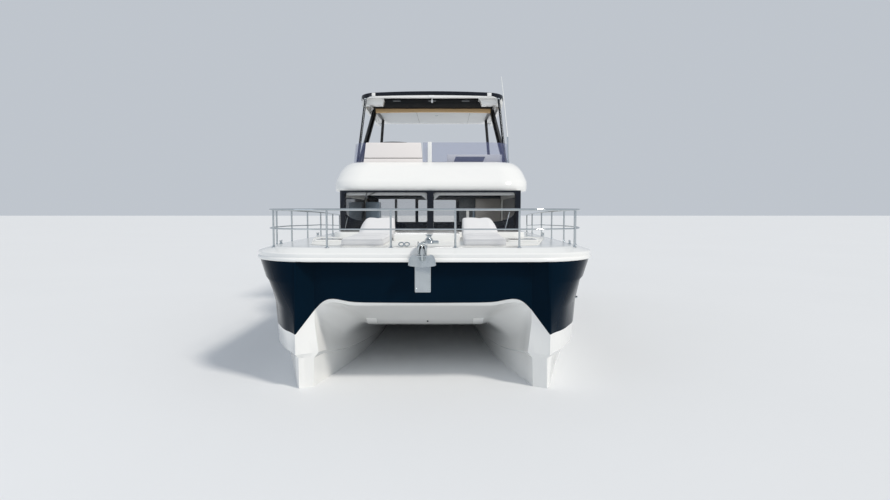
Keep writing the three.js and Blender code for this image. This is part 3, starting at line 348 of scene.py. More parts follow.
def meshObject(name, parts, smooth=32):
    # parts: [(part, material)], one mesh with a slot for each material
    points, faces, index, materials = [], [], [], []
    for (partPoints, partFaces), material in parts:
        if material not in materials:
            materials.append(material)
        start = len(points)
        points += partPoints
        faces += [[i + start for i in f] for f in partFaces]
        index += [materials.index(material)] * len(partFaces)
    mesh = bpy.data.meshes.new(name)
    mesh.from_pydata([tuple(p) for p in points], [], faces)
    for material in materials:
        mesh.materials.append(material)
    mesh.polygons.foreach_set("material_index", index)
    mesh.validate()
    bm = bmesh.new()
    bm.from_mesh(mesh)
    bmesh.ops.remove_doubles(bm, verts=bm.verts, dist=2e-5)
    bmesh.ops.dissolve_degenerate(bm, edges=bm.edges, dist=1e-6)
    bmesh.ops.recalc_face_normals(bm, faces=bm.faces)
    bm.to_mesh(mesh)
    bm.free()
    mesh.shade_smooth()
    if smooth < 180:
        mesh.set_sharp_from_angle(angle=math.radians(smooth))
    piece = bpy.data.objects.new(name, mesh)
    bpy.context.scene.collection.objects.link(piece)
    return piece


def applyModifiers(piece, smooth=32):
    view = bpy.context.evaluated_depsgraph_get()
    mesh = bpy.data.meshes.new_from_object(piece.evaluated_get(view), depsgraph=view)
    piece.modifiers.clear()
    piece.data = mesh
    mesh.shade_smooth()
    mesh.set_sharp_from_angle(angle=math.radians(smooth))


def combine(piece, steps, smooth=32):
    # steps: (operation, part, material), one after another on the piece
    tools = []
    for i, (operation, part, material) in enumerate(steps):
        tool = meshObject(f"{piece.name}_tool{i}", [(part, material)])
        tools.append(tool)
        modifier = piece.modifiers.new(f"step{i}", "BOOLEAN")
        modifier.operation = operation
        modifier.solver = "EXACT"
        modifier.material_mode = "TRANSFER"
        modifier.object = tool
    applyModifiers(piece, smooth)
    for tool in tools:
        bpy.data.objects.remove(tool)


def bend(points, radius, steps=6, closed=False):
    # The same path with its corners rounded
    pts = [Vector(p) for p in points]
    count = len(pts)
    out = []
    for i, p in enumerate(pts):
        if not closed and i in (0, count - 1):
            out.append(p)
            continue
        before, after = pts[i - 1] - p, pts[(i + 1) % count] - p
        reach = min(radius, before.length / 2.01, after.length / 2.01)
        a, b = p + before.normalized() * reach, p + after.normalized() * reach
        out += [a * (1 - t) ** 2 + p * (2 * t * (1 - t)) + b * t * t for t in (k / steps for k in range(steps + 1))]
    return [tuple(p) for p in out]


def partOf(piece):
    return [tuple(v.co) for v in piece.data.vertices], [list(p.vertices) for p in piece.data.polygons]


def declare(piece, body="yacht", replaces=()):
    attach(piece, body)
    if replaces:
        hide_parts(*replaces)
    return piece


def build(name, parts, body="yacht", replaces=(), smooth=32):
    return declare(meshObject(name, parts, smooth), body, replaces)


def keepNode(name, material):
    mesh = nodes[name].data
    mesh.materials.clear()
    mesh.materials.append(material)


# Camera at the photograph's place, soft light, pale floor at the waterline
view = {"place": (0.306, -13.5, 2.46), "down": 3.76, "lens": 24, "sensor": 36, "reach": 2000}
studio = {"sky": "#E3EAF3", "skyStrength": 0.68, "floor": 300}
camera = bpy.data.objects.new("camera", bpy.data.cameras.new("camera"))
bpy.context.scene.collection.objects.link(camera)
camera.location = view["place"]
camera.rotation_euler = (math.radians(90 - view["down"]), 0, 0)
camera.data.lens = view["lens"]
camera.data.sensor_width = view["sensor"]
camera.data.clip_end = view["reach"]
bpy.context.scene.camera = camera

floorFinish = finish("paleStudioFloor", "#E6E8EA", "#E2E4E6", 6.0, 0.8, 0.02, 0.5, 0.0001)
floorEdge = studio["floor"]
floor = meshObject("floor", [
    (([(x * floorEdge, y * floorEdge, 0) for x, y in ((-1, -1), (1, -1), (1, 1), (-1, 1))], [[0, 1, 2, 3]]),
     floorFinish)])
floor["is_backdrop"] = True

world = bpy.data.worlds.new("studio")
bpy.context.scene.world = world
world.use_nodes = True
world.node_tree.nodes["Background"].inputs["Color"].default_value = linear(studio["sky"])
world.node_tree.nodes["Background"].inputs["Strength"].default_value = studio["skyStrength"]
bpy.context.scene.view_settings.view_transform = "Standard"


def addLight(name, kind, place, target, strength, colour, **settings):
    lamp = bpy.data.lights.new(name, kind)
    lamp.energy = strength
    lamp.color = linear(colour)[:3]
    for key, value in settings.items():
        setattr(lamp, key, value)
    holder = bpy.data.objects.new(name, lamp)
    bpy.context.scene.collection.objects.link(holder)
    holder.location = place
    holder.rotation_euler = (Vector(target) - Vector(place)).to_track_quat("-Z", "Y").to_euler()


addLight("key", "SUN", (8, -6, 13), (0, 0, 1.5), 1.9, "#FFF8EE", angle=math.radians(9))
addLight("fill", "AREA", (-12, -14, 7), (0, -3, 1.5), 150, "#EAF2FF", shape="RECTANGLE", size=8, size_y=5)
# The saloon's own ceiling light, unseen itself
addLight("saloon", "AREA", (0, 1.2, 2.84), (0, 1.2, 0), 34, "#FFFFFF", shape="RECTANGLE", size=2.6, size_y=2.6)
bpy.data.objects["saloon"].visible_camera = False

# Heights that pieces stand on: deck, sole of saloon and cockpit, well of the flybridge, top of the roof.
# Each is 0.3 mm above its surface, so that no two faces share a plane
deckZ, soleZ, wellZ, roofZ = 1.9503, 0.9203, 3.0803, 3.5403
sideNames = ((1, "port"), (-1, "starboard"))

# Hulls, tunnel and front face: one moulding
hull = {
    "stemX": 1.752, "keelX": 1.64, "bowY": -5.45, "ridgeY": -5.30, "topZ": 1.7647,
    "corner": (1.55, -4.25, 0.962, 1.219),
    # how far the stem stands back below the chine, aft and inboard, and the height where that starts
    "forefoot": (0.05, 0.03), "forefootZ": 0.46,
    # y; topside, chine and waterline half widths; keel depth; height of the paint line
    "outside": [
        [-5.45, 1.76, 1.76, 1.74, -0.15, 0.768], [-5.372, 1.815, 1.795, 1.755, -0.26, 0.768],
        [-5.25, 1.908, 1.865, 1.785, -0.35, 0.767], [-5.14, 1.995, 1.942, 1.812, -0.42, 0.766],
        [-5.00, 2.072, 2.018, 1.845, -0.47, 0.765], [-4.80, 2.162, 2.106, 1.885, -0.51, 0.764],
        [-4.60, 2.248, 2.196, 1.930, -0.535, 0.762], [-4.25, 2.348, 2.300, 1.992, -0.562, 0.76],
        [-3.60, 2.432, 2.378, 2.090, -0.59, 0.755], [-2.50, 2.444, 2.394, 2.190, -0.60, 0.75],
        [-1.00, 2.450, 2.410, 2.255, -0.60, 0.75], [1.50, 2.450, 2.410, 2.280, -0.58, 0.75],
        [3.60, 2.445, 2.405, 2.275, -0.50, 0.75], [5.10, 2.425, 2.390, 2.250, -0.23, 0.75],
        [5.50, 2.405, 2.375, 2.240, -0.12, 0.75]],
    # y; waterline; x and z of the chine, the side, the crown and the flat of the tunnel; width and drop of the step
    "inside": [
        [-5.30, 1.543, 1.466, 0.488, 1.512, 1.070, 1.300, 1.190, 0.95, 1.150, 0.064, 0.085],
        [-5.14, 1.508, 1.440, 0.470, 1.470, 0.950, 1.245, 1.115, 0.92, 1.082, 0.052, 0.065],
        [-5.00, 1.477, 1.426, 0.445, 1.445, 0.860, 1.200, 1.055, 0.90, 1.024, 0.043, 0.050],
        [-4.60, 1.376, 1.345, 0.365, 1.345, 0.665, 1.080, 0.865, 0.84, 0.838, 0.028, 0.028],
        [-4.25, 1.296, 1.268, 0.305, 1.268, 0.505, 1.015, 0.692, 0.83, 0.675, 0.024, 0.022],
        [-3.60, 1.170, 1.143, 0.24, 1.143, 0.44, 0.940, 0.630, 0.82, 0.631, 0.024, 0.022],
        [-2.50, 1.045, 1.018, 0.16, 1.015, 0.39, 0.875, 0.604, 0.81, 0.620, 0.024, 0.022],
        [-1.00, 0.947, 0.920, 0.09, 0.925, 0.34, 0.852, 0.594, 0.80, 0.620, 0.024, 0.022],
        [1.50, 0.937, 0.910, 0.08, 0.915, 0.33, 0.850, 0.592, 0.80, 0.620, 0.024, 0.022],
        [5.50, 0.947, 0.920, 0.08, 0.925, 0.33, 0.853, 0.592, 0.80, 0.620, 0.024, 0.022]],
    # lower edge of the front face, x and z, from the ridge to the centreline
    "frontEdge": [(1.512, 1.084), (1.298, 1.240), (0.95, 1.200), (0.475, 1.192), (0, 1.19)],
    # plan of the front face, x and y: flat facets run from the stem to the ridge
    "frontPlan": [[0, -5.374], [0.8, -5.372], [1.2, -5.36], [1.40, -5.34], [1.512, -5.316], [1.752, -5.45]],
    "knuckleZ": (1.50, 1.455), "topsideZ": 1.09, "chineZ": 0.483, "chineDrop": 0.055,
    # how far the front face stands ahead of its lower edge
    "lip": 0.016,
}
bowStations = [-5.45, -5.42, -5.39, -5.36, -5.33, -5.30]
aftStations = [-5.30, -5.25, -5.18, -5.08, -4.95, -4.8, -4.6, -4.4, -4.2, -3.9, -3.6, -3.2, -2.7, -2.1, -1.4,
               -0.6, 0.4, 1.5, 2.6, 3.6, 4.4, 5.1, 5.5]
archCounts = (3, 6, 5, 3, 2)


def fullness(y):
    return min(1, (y - hull["bowY"]) / 0.8)


def bilgeOf(centre, waterline, keelZ, full):
    return centre + (waterline - centre) * (0.25 + 0.45 * full), keelZ * 0.72


def outsideLevels(y):
    topside, chine, waterline, keelZ, paint = smoothAt(hull["outside"], y)
    full = fullness(y)
    centreX, centreY, a, b = hull["corner"]
    sheerBow = centreX + a * math.sqrt(max(0, 1 - (min(0, y - centreY) / b) ** 2))
    sheer = sheerBow - max(0, y - 1.5) / 4 * 0.05
    stem = hull["stemX"]
    knuckle = stem + (sheer - stem) * (0.88 + 0.057 * min(1, max(0, (y + 4.7) / 1.5)))
    centre = stem + (hull["keelX"] - stem) * full
    paintX = chine + (topside - chine) * (paint - hull["chineZ"]) / (hull["topsideZ"] - hull["chineZ"])
    bilge = bilgeOf(centre, waterline, keelZ, full)
    step = min(0.026 + 0.085 * full, 0.6 * (chine - centre) + 0.02)
    highZ, lowZ = hull["knuckleZ"]
    return [(sheer, hull["topZ"]), (knuckle, highZ), (knuckle - 0.004 - 0.04 * full, lowZ),
            (topside, hull["topsideZ"]), (paintX, paint), (chine, hull["chineZ"]),
            (chine - step, hull["chineZ"] - hull["chineDrop"]), (waterline, 0), bilge,
            (centre + 0.006 + 0.07 * full, keelZ)]


def archPoints(row):
    chineX, chineZ, sideX, sideZ, crownX, crownZ, flatX, flatZ = row[1:9]
    return curveThrough([(chineX, chineZ), (sideX, sideZ), (crownX, crownZ), (flatX, flatZ), (flatX / 2, flatZ),
                         (0, flatZ)], archCounts)


def underPoints(y, row, keelZ):
    waterline, chineX, chineZ = row[:3]
    width, drop = row[9:]
    full = fullness(y)
    centre = hull["stemX"] + (hull["keelX"] - hull["stemX"]) * full
    bilge = bilgeOf(centre, waterline, keelZ, full)
    return [(centre - 0.006 - 0.07 * full, keelZ), bilge, (waterline, 0), (chineX + width, max(chineZ - drop, 0.02))]


def hullMoulding():
    back, inward = hull["forefoot"]
    lipY = hull["lip"]

    def low(p):
        return p[2] < hull["forefootZ"]

    outer = []
    for y in bowStations[:-1] + aftStations:
        # The stem: below the chine it stands back, aft and inboard
        share = max(0, (hull["ridgeY"] - y) / (hull["ridgeY"] - hull["bowY"]))
        outer.append([(x - inward * share, y + back * share, z) if z < hull["forefootZ"] else (x, y, z)
                      for x, z in outsideLevels(y)])
    nose = [(hull["stemX"] - (inward if low(p) else 0), p[1] - 0.006, p[2]) for p in outer[0]]
    innerRows = []
    for y in aftStations:
        row = smoothAt(hull["inside"], y)
        keelZ = smoothAt(hull["outside"], y)[3]
        innerRows.append([(x, y, z) for x, z in underPoints(y, row, keelZ) + [tuple(p) for p in archPoints(row)]])
    stem, bow = hull["stemX"] - 0.008, hull["bowY"]
    paint = outer[0][4][2]
    chine, drop = hull["chineZ"], hull["chineDrop"]
    keelZ = outer[0][9][2]
    # Front ends of the rows of the tunnel: down the stem, then along the edge of the front face
    edge = curveThrough([(stem, paint)] + hull["frontEdge"], (1,) + archCounts[1:])[1:]
    front = [(stem - inward, bow + back, z) for z in (keelZ, keelZ * 0.72, 0, chine - drop)]
    front += [(stem, bow, z) for z in (chine, chine + (paint - chine) / 2, paint)]
    plan = np.asarray(hull["frontPlan"])
    front += [(x, float(np.interp(x, plan[:, 0], plan[:, 1])) + lipY, z) for x, z in edge]
    strip = []
    for y in bowStations:
        t = (y - bow) / (hull["ridgeY"] - bow)
        strip.append([tuple(np.asarray(a) * (1 - t) + np.asarray(b) * t) for a, b in zip(front, innerRows[0])])
    # The front face, from its lower edge up to the deck
    curtain = [[front[6]] + [(p[0], p[1] - lipY, p[2] + 0.012) for p in front[7:]]]
    for k in range(1, 9):
        t = k / 8
        curtain.append([(p[0], p[1], p[2] + (hull["topZ"] - p[2]) * t) for p in curtain[0]])
    lip = [front[6:], curtain[0]]
    navy, white = gelcoatNavy, gelcoatWhite
    skin = [nose] + outer
    # Keel, stem and the strip between nose and inner face
    keelOut = [p[-1] for p in outer]
    keelIn = [p[0] for p in strip[:-1]] + [p[0] for p in innerRows]
    stemIn = [(stem - (inward if low(p) else 0), bow + (back if low(p) else 0), p[2]) for p in outer[0]]
    grids = [(strip, white), (innerRows, white), (curtain, navy), (lip, navy),
             ([p[:5] for p in skin], navy), ([p[4:] for p in skin], white), ([keelOut, keelIn], white),
             ([nose[:5], stemIn[:5]], navy), ([nose[4:], stemIn[4:]], white)]
    half = [(loftPart(grid, closedRing=False, caps=False), material) for grid, material in grids]
    half.append((([nose[-1], outer[0][-1], stemIn[-1]], [[0, 1, 2]]), white))
    parts = half + [(mirrored(part), material) for part, material in half]
    # Transom and top
    for rim in (outer[-1] + innerRows[-1], curtain[-1][::-1] + [nose[0]] + [p[0] for p in outer]):
        points = rim + [(-x, y, z) for x, y, z in rim[::-1]]
        parts.append(((points, [list(range(len(points)))]), white))
    return parts


def cut(part, material=gelcoatWhite):
    return "DIFFERENCE", part, material


def join(part):
    return "UNION", part, gelcoatWhite


def boxCut(x, y, z):
    return cut(boxPart(x, y, z))


def bothCut(x, y, z, material=gelcoatWhite):
    part = boxPart(x, y, z)
    return [cut(part, material), cut(mirrored(part), material)]


# What is cut out of hulls and deck, what the skegs add, and how far the ladder's second lug stands from the first
inside = {"saloon": ((-1.8503, 1.8503), (-1.0, 3.0903)), "cockpit": ((-2.15, 2.15), (3.09, 5.7)), "sole": 0.92,
          "steps": [(4.56, 0.75), (4.76, 0.575), (4.96, 0.40)], "stepX": (0.79, 2.15), "topZ": 2.2,
          "sternGap": ((-0.7997, 0.7997), (4.9, 5.7)), "ladderX": -3.396,
          "fall": [(4.35, 2.2), (4.45, 1.785), (5.3, 0.7), (5.7, 0.63), (5.7, 2.2)],
          "counter": [(5.12, -0.8), (5.7, -0.8), (5.7, 0.155), (5.12, 0.12)],
          "bay": ((1.3, 1.98), (3.4, 4.42), (-0.06, 1.0)), "rebate": ((1.252, 2.028), (3.352, 4.468), (0.8797, 1.0)),
          "skeg": [(-0.9, -0.56), (-0.5, -0.82), (2.9, -0.93), (3.25, -0.93), (3.33, -0.48)], "skegX": (1.595, 1.685)}
wholeBeam = (-3, 3)
hullPiece = meshObject("hull_moulding", hullMoulding(), 24)
skeg = prismPart(inside["skeg"], *inside["skegX"], along="x", bevel=0.02)
# The two lugs of the boarding ladder, on the starboard platform
lug = boxPart((1.9203, 1.936), (5.48, 5.565), (0.37, 0.436), 0.006)
lugs = [mirrored(lug), moved(lug, Matrix.Translation((inside["ladderX"], 0, 0)))]
hullSteps = [join(skeg), join(mirrored(skeg))]
hullSteps += [boxCut(*inside[name], (inside["sole"], inside["topZ"])) for name in ("saloon", "cockpit")]
hullSteps.append(boxCut(*inside["sternGap"], (-1, 2)))
for y, z in inside["steps"]:
    hullSteps += bothCut(inside["stepX"], (y, 5.8), (z, inside["topZ"]), nonSkid)
hullSteps += bothCut(*inside["bay"]) + bothCut(*inside["rebate"])
hullSteps += [cut(prismPart(inside[name], *wholeBeam, along="x")) for name in ("fall", "counter")]
hullSteps += [join(part) for part in lugs]
combine(hullPiece, hullSteps, 24)
declare(hullPiece, replaces=("hull_port", "hull_starboard", "bridgedeck"))
# Small fittings: an outlet on the port side, two flush plates and a drain under the front of the bridgedeck
fitting = {"place": (2.347, -4.15, 1.10), "axis": (0.97, -0.24, 0), "plate": (0.81, -4.5), "drain": 0.04,
           "outlet": [(0.03, 0), (0.03, 0.024), (0.019, 0.03), (0.019, 0.058), (0.014, 0.06), (0.012, 0.03)]}
outlet = lathePart(fitting["outlet"], fitting["place"], fitting["axis"])
build("hull_outlet", [(outlet, steelPolished)])
rampY = fitting["plate"][1]
rampZ, before, after = (smoothAt(hull["inside"], y)[8] for y in (rampY, rampY - 0.05, rampY + 0.05))
plate = moved(boxPart((-0.079, 0.079), (-0.12, 0.12), (-0.012, 0.012), 0.006),
              Matrix.Translation((fitting["plate"][0], rampY, rampZ))
              @ Matrix.Rotation(math.atan((after - before) / 0.1), 4, "X"))
drain = lathePart([(0.014, 0), (0.014, 0.02), (0.009, 0.024)], (fitting["drain"], rampY, rampZ + 0.006), (0, 0, -1))
build("tunnel_plates", [(plate, gelcoatWhite), (mirrored(plate), gelcoatWhite), (drain, rubberBlack)])
print("hulls ready")

# Deck moulding with its gunwale, coach step and lids
deck = {"bow": (-5.5, 0.03), "corner": (1.55, -4.25, 1.0, 1.22), "side": 2.55, "aft": [(2.55, 2.5), (2.515, 5.48)],
        # inset from the outline and height, from the seam with the hull to the deck
        "gunwale": [(0.03, 1.7653), (0.012, 1.766), (0.004, 1.771), (0.0, 1.781), (0.0, 1.797), (0.004, 1.808),
                    (0.011, 1.816), (0.0205, 1.822), (0.0115, 1.864), (0.013, 1.873), (0.022, 1.881), (0.042, 1.887),
                    (0.14, 1.917), (0.225, 1.943), (0.25, 1.9485), (0.275, 1.95)],
        "locker": ((-0.534, -0.116), (-5.064, -4.556)), "hatch": ((1.33, 1.83), (-3.9, -3.4)),
        "platform": ((-0.56, 0.56), (-3.60, -1.80)), "platformTop": 2.08, "coachTop": 2.046,
        "step": (1.89, -1.9, -0.8, 0.24)}


def deckOutline(inset, steps=20):
    cx, cy, a, b = deck["corner"]
    bowY, sweep = deck["bow"]
    half = [(x, bowY + sweep * (x / cx) ** 2 + inset) for x in (0.0, 0.3, 0.6, 0.9, 1.2, 1.4)]
    for i in range(steps + 1):
        t = math.pi / 2 * i / steps
        half.append((cx + (a - inset) * math.sin(t), cy - (b - inset) * math.cos(t)))
    half += [(deck["side"] - inset, y) for y in (-2.5, 0)] + [(x - inset, y) for x, y in deck["aft"]]
    return half + [(-x, y) for x, y in half[:0:-1]]


rings = [[(x, y, z) for x, y in deckOutline(inset)] for inset, z in deck["gunwale"]]
deckPiece = meshObject("deck_moulding", [(loftPart(rings), gelcoatWhite)])
locker = deck["locker"]
through = (1.6, 2.2)
combine(deckPiece, [
    join(prismPart(roundedRect(*deck["platform"], 0.03), 1.94, deck["platformTop"], bevel=0.016)),
    join(prismPart(roundedPlan(*deck["step"][:3], deck["step"][3], 0.02), 1.93, deck["coachTop"], bevel=0.014)),
    boxCut(*inside["saloon"], through), boxCut(wholeBeam, (-1.0003, 3.2), (1.95, 2.3)),
    boxCut(*inside["cockpit"], through), boxCut(*locker, (1.9097, 2.2)),
    cut(prismPart(inside["fall"], *wholeBeam, along="x")), *bothCut(*shrunk(*deck["hatch"], 0.03), (1.89, 2.2))])
declare(deckPiece, replaces=("deck",))

# Raised non-skid panel of the foredeck, cut round the lids
panel = {"half": [(0, -5.0), (1.185, -5.0), (1.72, -4.54), (2.14, -2.48), (2.14, -2.0)], "round": 0.09,
         "z": (1.9495, 1.962), "hatch": ((1.32, 1.84), (-3.91, -3.345)), "cut": (1.9, 2.2)}
half = panel["half"]
outline = bend([(x, y) for x, y in half[1:]] + [(-x, y) for x, y in half[:0:-1]], panel["round"], closed=True)
panelPiece = meshObject("foredeck_panel", [(prismPart(outline, *panel["z"], bevel=0.004), nonSkid)])
# The cuts reach behind the lids, where their hinge edges swing down
combine(panelPiece, [
    boxCut(locker[0], (locker[1][0], locker[1][1] + 0.019), panel["cut"]), *bothCut(*panel["hatch"], panel["cut"]),
    boxCut((-1.9, 1.9), (-2.14, -0.5), panel["cut"]), boxCut(deck["platform"][0], (-3.60, -0.5), panel["cut"])])
declare(panelPiece)
# The locker's cover leaves a gap all round, a wider one at its hinge edge
gap, hingeGap = 0.004, 0.0075
(x0, x1), (y0, y1) = locker
cover = prismPart(roundedRect((x0 + gap, x1 - gap), (y0 + gap, y1 - hingeGap), 0.012), 1.91, 1.9625, bevel=0.004)
latch = prismPart(roundedRect((-0.355, -0.295), (-5.04, -5.01), 0.012), 1.962, 1.966, bevel=0.0015)
build("anchor_locker_cover", [(cover, nonSkid), (latch, steelPolished)], "locker_lid",
      ("anchor_locker_lid",))
for side, name in sideNames:
    frameRing = prismPart(roundedRect(*deck["hatch"], 0.05), deckZ, 1.9953, bevel=0.008)
    pane = prismPart(roundedRect(*shrunk(*deck["hatch"], 0.035), 0.035), 1.975, 1.9975, bevel=0.002)
    pull = prismPart(roundedRect((1.53, 1.63), (-3.888, -3.872), 0.006), 1.9945, 2.002, bevel=0.002)
    parts = ((frameRing, gelcoatWhite), (pane, glassDark), (pull, steelPolished))
    build(f"{name}_hatch_lid", [(sided(part, side), material) for part, material in parts],
          f"{name}_deck_hatch", (f"deck_hatch_{name}",))
print("deck ready")

# Deckhouse: black front, side walls, glass
house = {"half": 1.89, "front": (-1.0597, -1.0003), "z": (2.0463, 2.8897), "pane": ((0.065, 1.79), (2.076, 2.85)),
         # clear part of each windscreen pane, inside its printed border, and the sweep of its lower outer corner
         "clear": ((0.069, 1.765), (2.232, 2.846)), "sweep": (0.55, 0.20),
         "sideWindow": ((-0.82, 2.78), (2.09, 2.76)), "sideCorner": 0.18, "play": 0.0003}
half = house["half"]
frontFrame = meshObject("deckhouse_front", [(boxPart((-half, half), house["front"], house["z"], 0.006), glossBlack)])
opening = prismPart(roundedRect(*house["pane"], 0.05), -1.2, -0.9, along="y")
combine(frontFrame, [cut(part, glossBlack) for part in (opening, mirrored(opening))])
declare(frontFrame, replaces=("cabin_front",))


def clearOutline():
    (x0, x1), (z0, z1) = house["clear"]
    wide, high = house["sweep"]
    sweep = [(x1 - wide + wide * math.sin(t), z0 + high - high * math.cos(t))
             for t in (math.pi / 2 * i / 12 for i in range(1, 13))]
    return ([(x0 + 0.02, z0), (x1 - wide, z0)] + sweep
            + [(x1, z1 - 0.03), (x1 - 0.03, z1), (x0 + 0.02, z1), (x0, z1 - 0.02), (x0, z0 + 0.02)])


for side, name in sideNames:
    pane = prismPart(roundedRect(*shrunk(*house["pane"], house["play"]), 0.05), -1.035, -1.027, along="y")
    printed = prismPart(roundedRect(*shrunk(*house["pane"], 0.0013), 0.049), -1.0268, -1.0248, along="y")
    border = meshObject(f"windscreen_border_{name}", [(printed, glossBlack)])
    combine(border, [cut(prismPart(clearOutline(), -1.1, -0.9, along="y"), glossBlack)])
    if side < 0:
        flipped = mirrored(partOf(border))
        bpy.data.objects.remove(border)
        border = meshObject(f"windscreen_border_{name}", [(flipped, glossBlack)])
    build(f"windscreen_pane_{name}", [(sided(pane, side), glassClear)], replaces=(f"windscreen_{name}",))
    declare(border)
    wall = boxPart((half - 0.04, half), (-0.9997, 3.09), (deckZ, house["z"][1]))
    wallPiece = meshObject(f"deckhouse_side_{name}", [(sided(wall, side), gelcoatWhite)])
    hole = prismPart(roundedRect(*house["sideWindow"], house["sideCorner"], 12), 1.7, 2.0, along="x")
    combine(wallPiece, [cut(sided(hole, side))])
    declare(wallPiece, replaces=(f"cabin_side_{name}",))
    glazing = roundedRect(*shrunk(*house["sideWindow"], house["play"]), house["sideCorner"], 12)
    glazing = prismPart(glazing, 1.87, 1.878, along="x")
    build(f"side_glass_{name}", [(sided(glazing, side), glassDark)], replaces=(f"side_window_{name}",))
# Pale header behind the glass, lowered beside the mullion, and the wipers
headerEdge = [(0.075, 2.866), (0.075, 2.70), (0.095, 2.70), (0.185, 2.787), (1.78, 2.787), (1.78, 2.866)]
header = prismPart(headerEdge, -0.995, -0.965, along="y", bevel=0.004)
build("windscreen_header", [(header, linerWhite), (mirrored(header), linerWhite)])
wipers = {"y": -1.052, "boss": [(0.02, 0), (0.02, 0.012), (0.012, 0.02)],
          # x and z of each tube, bright ones at the foot of the panes, black ones under the roof;
          # a boss sits at the second point
          "lower": [[(-1.736, 2.32), (-1.801, 2.037), (-1.52, 2.031)],
                    [(1.659, 2.439), (1.561, 2.058), (1.748, 2.033)]],
          "upper": [[(-1.316, 2.858), (-1.354, 2.763), (-1.404, 2.51)], [(-1.138, 2.858), (-1.341, 2.752)]]}
parts = []
for kind, radius, material in (("lower", 0.0065, steelBrushed), ("upper", 0.0085, rubberBlack)):
    for path in wipers[kind]:
        points = [(x, wipers["y"], z) for x, z in path]
        parts.append((tubePart(points, radius, 8), material))
        parts.append((lathePart(wipers["boss"], points[1], (0, -1, 0), 16), mouldedGrey))
build("wipers", parts)
print("deckhouse ready")

# Roof and flybridge moulding
# rings: height, half width, front, radius of the front corners
roof = {"rings": [[2.89, 2.085, -0.903, 0.635], [2.90, 2.097, -0.913, 0.64], [2.95, 2.108, -0.92, 0.645],
                  [3.08, 2.12, -0.872, 0.66], [3.20, 2.095, -0.755, 0.655], [3.33, 2.052, -0.60, 0.635],
                  [3.43, 1.99, -0.485, 0.615], [3.50, 1.925, -0.37, 0.59], [3.54, 1.86, -0.30, 0.56]],
        "aftY": 4.9, "aftRadius": 0.25, "levels": 26, "stair": ((0.66, 1.25), (3.3, 4.5)),
        # well of the flybridge: height, then the arguments of its plan, at the floor and at the rim
        "well": [(3.08, 1.9, -0.42, 5.2, 0.52), (3.55, 1.73, -0.17, 5.2, 0.43)],
        "fall": [(3.3, 3.59), (3.8, 3.08), (5.0, 3.08), (5.0, 3.59)]}
lowZ, highZ = roof["rings"][0][0], roof["rings"][-1][0]
levels = [lowZ + (highZ - lowZ) * (i / roof["levels"]) for i in range(roof["levels"] + 1)]
# one more level just above the lower edge, for its rounding
levels[1:1] = [2.896]
rings = []
for z in levels:
    halfWidth, front, radius = smoothAt(roof["rings"], z)
    rings.append([(x, y, z) for x, y in roundedPlan(halfWidth, front, roof["aftY"], radius, roof["aftRadius"], 16)])
roofPiece = meshObject("flybridge_moulding", [(loftPart(rings), gelcoatWhite)])
well = loftPart([[(x, y, z) for x, y in roundedPlan(*plan, 0.05, 16)] for z, *plan in roof["well"]])
combine(roofPiece, [cut(well), cut(prismPart(roof["fall"], *wholeBeam, along="x")),
                    boxCut(*roof["stair"], (2.8, 3.2))])
declare(roofPiece, replaces=("flybridge_deck",))

screen = {"half": 1.8, "front": -0.21, "radius": 0.52, "lean": 0.06, "thick": 0.012, "low": roofZ, "high": 3.985,
          "aftLow": 1.12, "aftHigh": 0.62,
          # where each side starts in front: the port one next to the pod, the starboard one beyond it
          "port": -0.187, "starboard": 1.506}


def screenWall(start, steps=16):
    # One side of the wind screen: plan from x = start round the corner to the raked aft end
    front, radius, aftY, t, high = (screen[key] for key in ("front", "radius", "aftLow", "thick", "high"))
    straight = screen["half"] - radius
    path = []
    if start < straight:
        path += [(start + (straight - start) * i / 6, front) for i in range(6)]
    first = math.degrees(math.asin(max(0, start - straight) / radius))
    for i in range(steps + 1):
        a = math.radians(first + (90 - first) * i / steps)
        path.append((straight + radius * math.sin(a), front + radius * (1 - math.cos(a))))
    path += [(screen["half"], y) for y in (0.5, 0.7, 0.9, aftY)]
    rings = []
    for i, (x, y) in enumerate(path):
        a, b = path[max(i - 1, 0)], path[min(i + 1, len(path) - 1)]
        length = math.hypot(b[0] - a[0], b[1] - a[1])
        nx, ny = (b[1] - a[1]) / length, -(b[0] - a[0]) / length
        rake = (aftY - screen["aftHigh"]) * max(0, (y - front) / (aftY - front)) ** 2
        topX, topY = x - nx * screen["lean"], y - ny * screen["lean"] - rake
        # outer face up, over the rounded top edge, and down again
        top = [(topX - nx * into, topY - ny * into, high - drop)
               for into, drop in ((0, 0.004), (0.003, 0), (t - 0.003, 0), (t, 0.004))]
        rings.append([(x, y, screen["low"]), *top, (x - nx * t, y - ny * t, screen["low"])])
    return loftPart(rings)


for side, name in sideNames:
    wall = sided(screenWall(screen[name], 16 if side > 0 else 12), side)
    build(f"wind_screen_{name}", [(wall, acrylicBlue)], replaces=(f"fly_screen_{name}",))

# Helm pod: base flange, cover that narrows upwards, foot in the well and the hood over the instruments
pod = {"x": (-1.50, -0.193), "topX": (-1.45, -0.23), "lowZ": 3.54, "topZ": 4.01, "seam": (3.622, 3.630)}
seamLow, seamHigh = pod["seam"]
cover = bend([(-0.231, seamHigh), (0.21, seamHigh), (0.17, 3.83), (0.04, 3.965), (-0.06, 3.985), (-0.195, 3.978)],
             0.03, closed=True)
flange = [(-0.24, roofZ), (0.23, roofZ), (0.214, seamLow), (-0.232, seamLow)]


def taperPod(part):
    # the two ends lean in towards the top
    out = []
    for x, y, z in part[0]:
        t = min(1, max(0, (z - pod["lowZ"]) / (pod["topZ"] - pod["lowZ"])))
        low = pod["x"][0] + (pod["topX"][0] - pod["x"][0]) * t
        high = pod["x"][1] + (pod["topX"][1] - pod["x"][1]) * t
        out.append((low + (high - low) * (x - pod["x"][0]) / (pod["x"][1] - pod["x"][0]), y, z))
    return out, part[1]


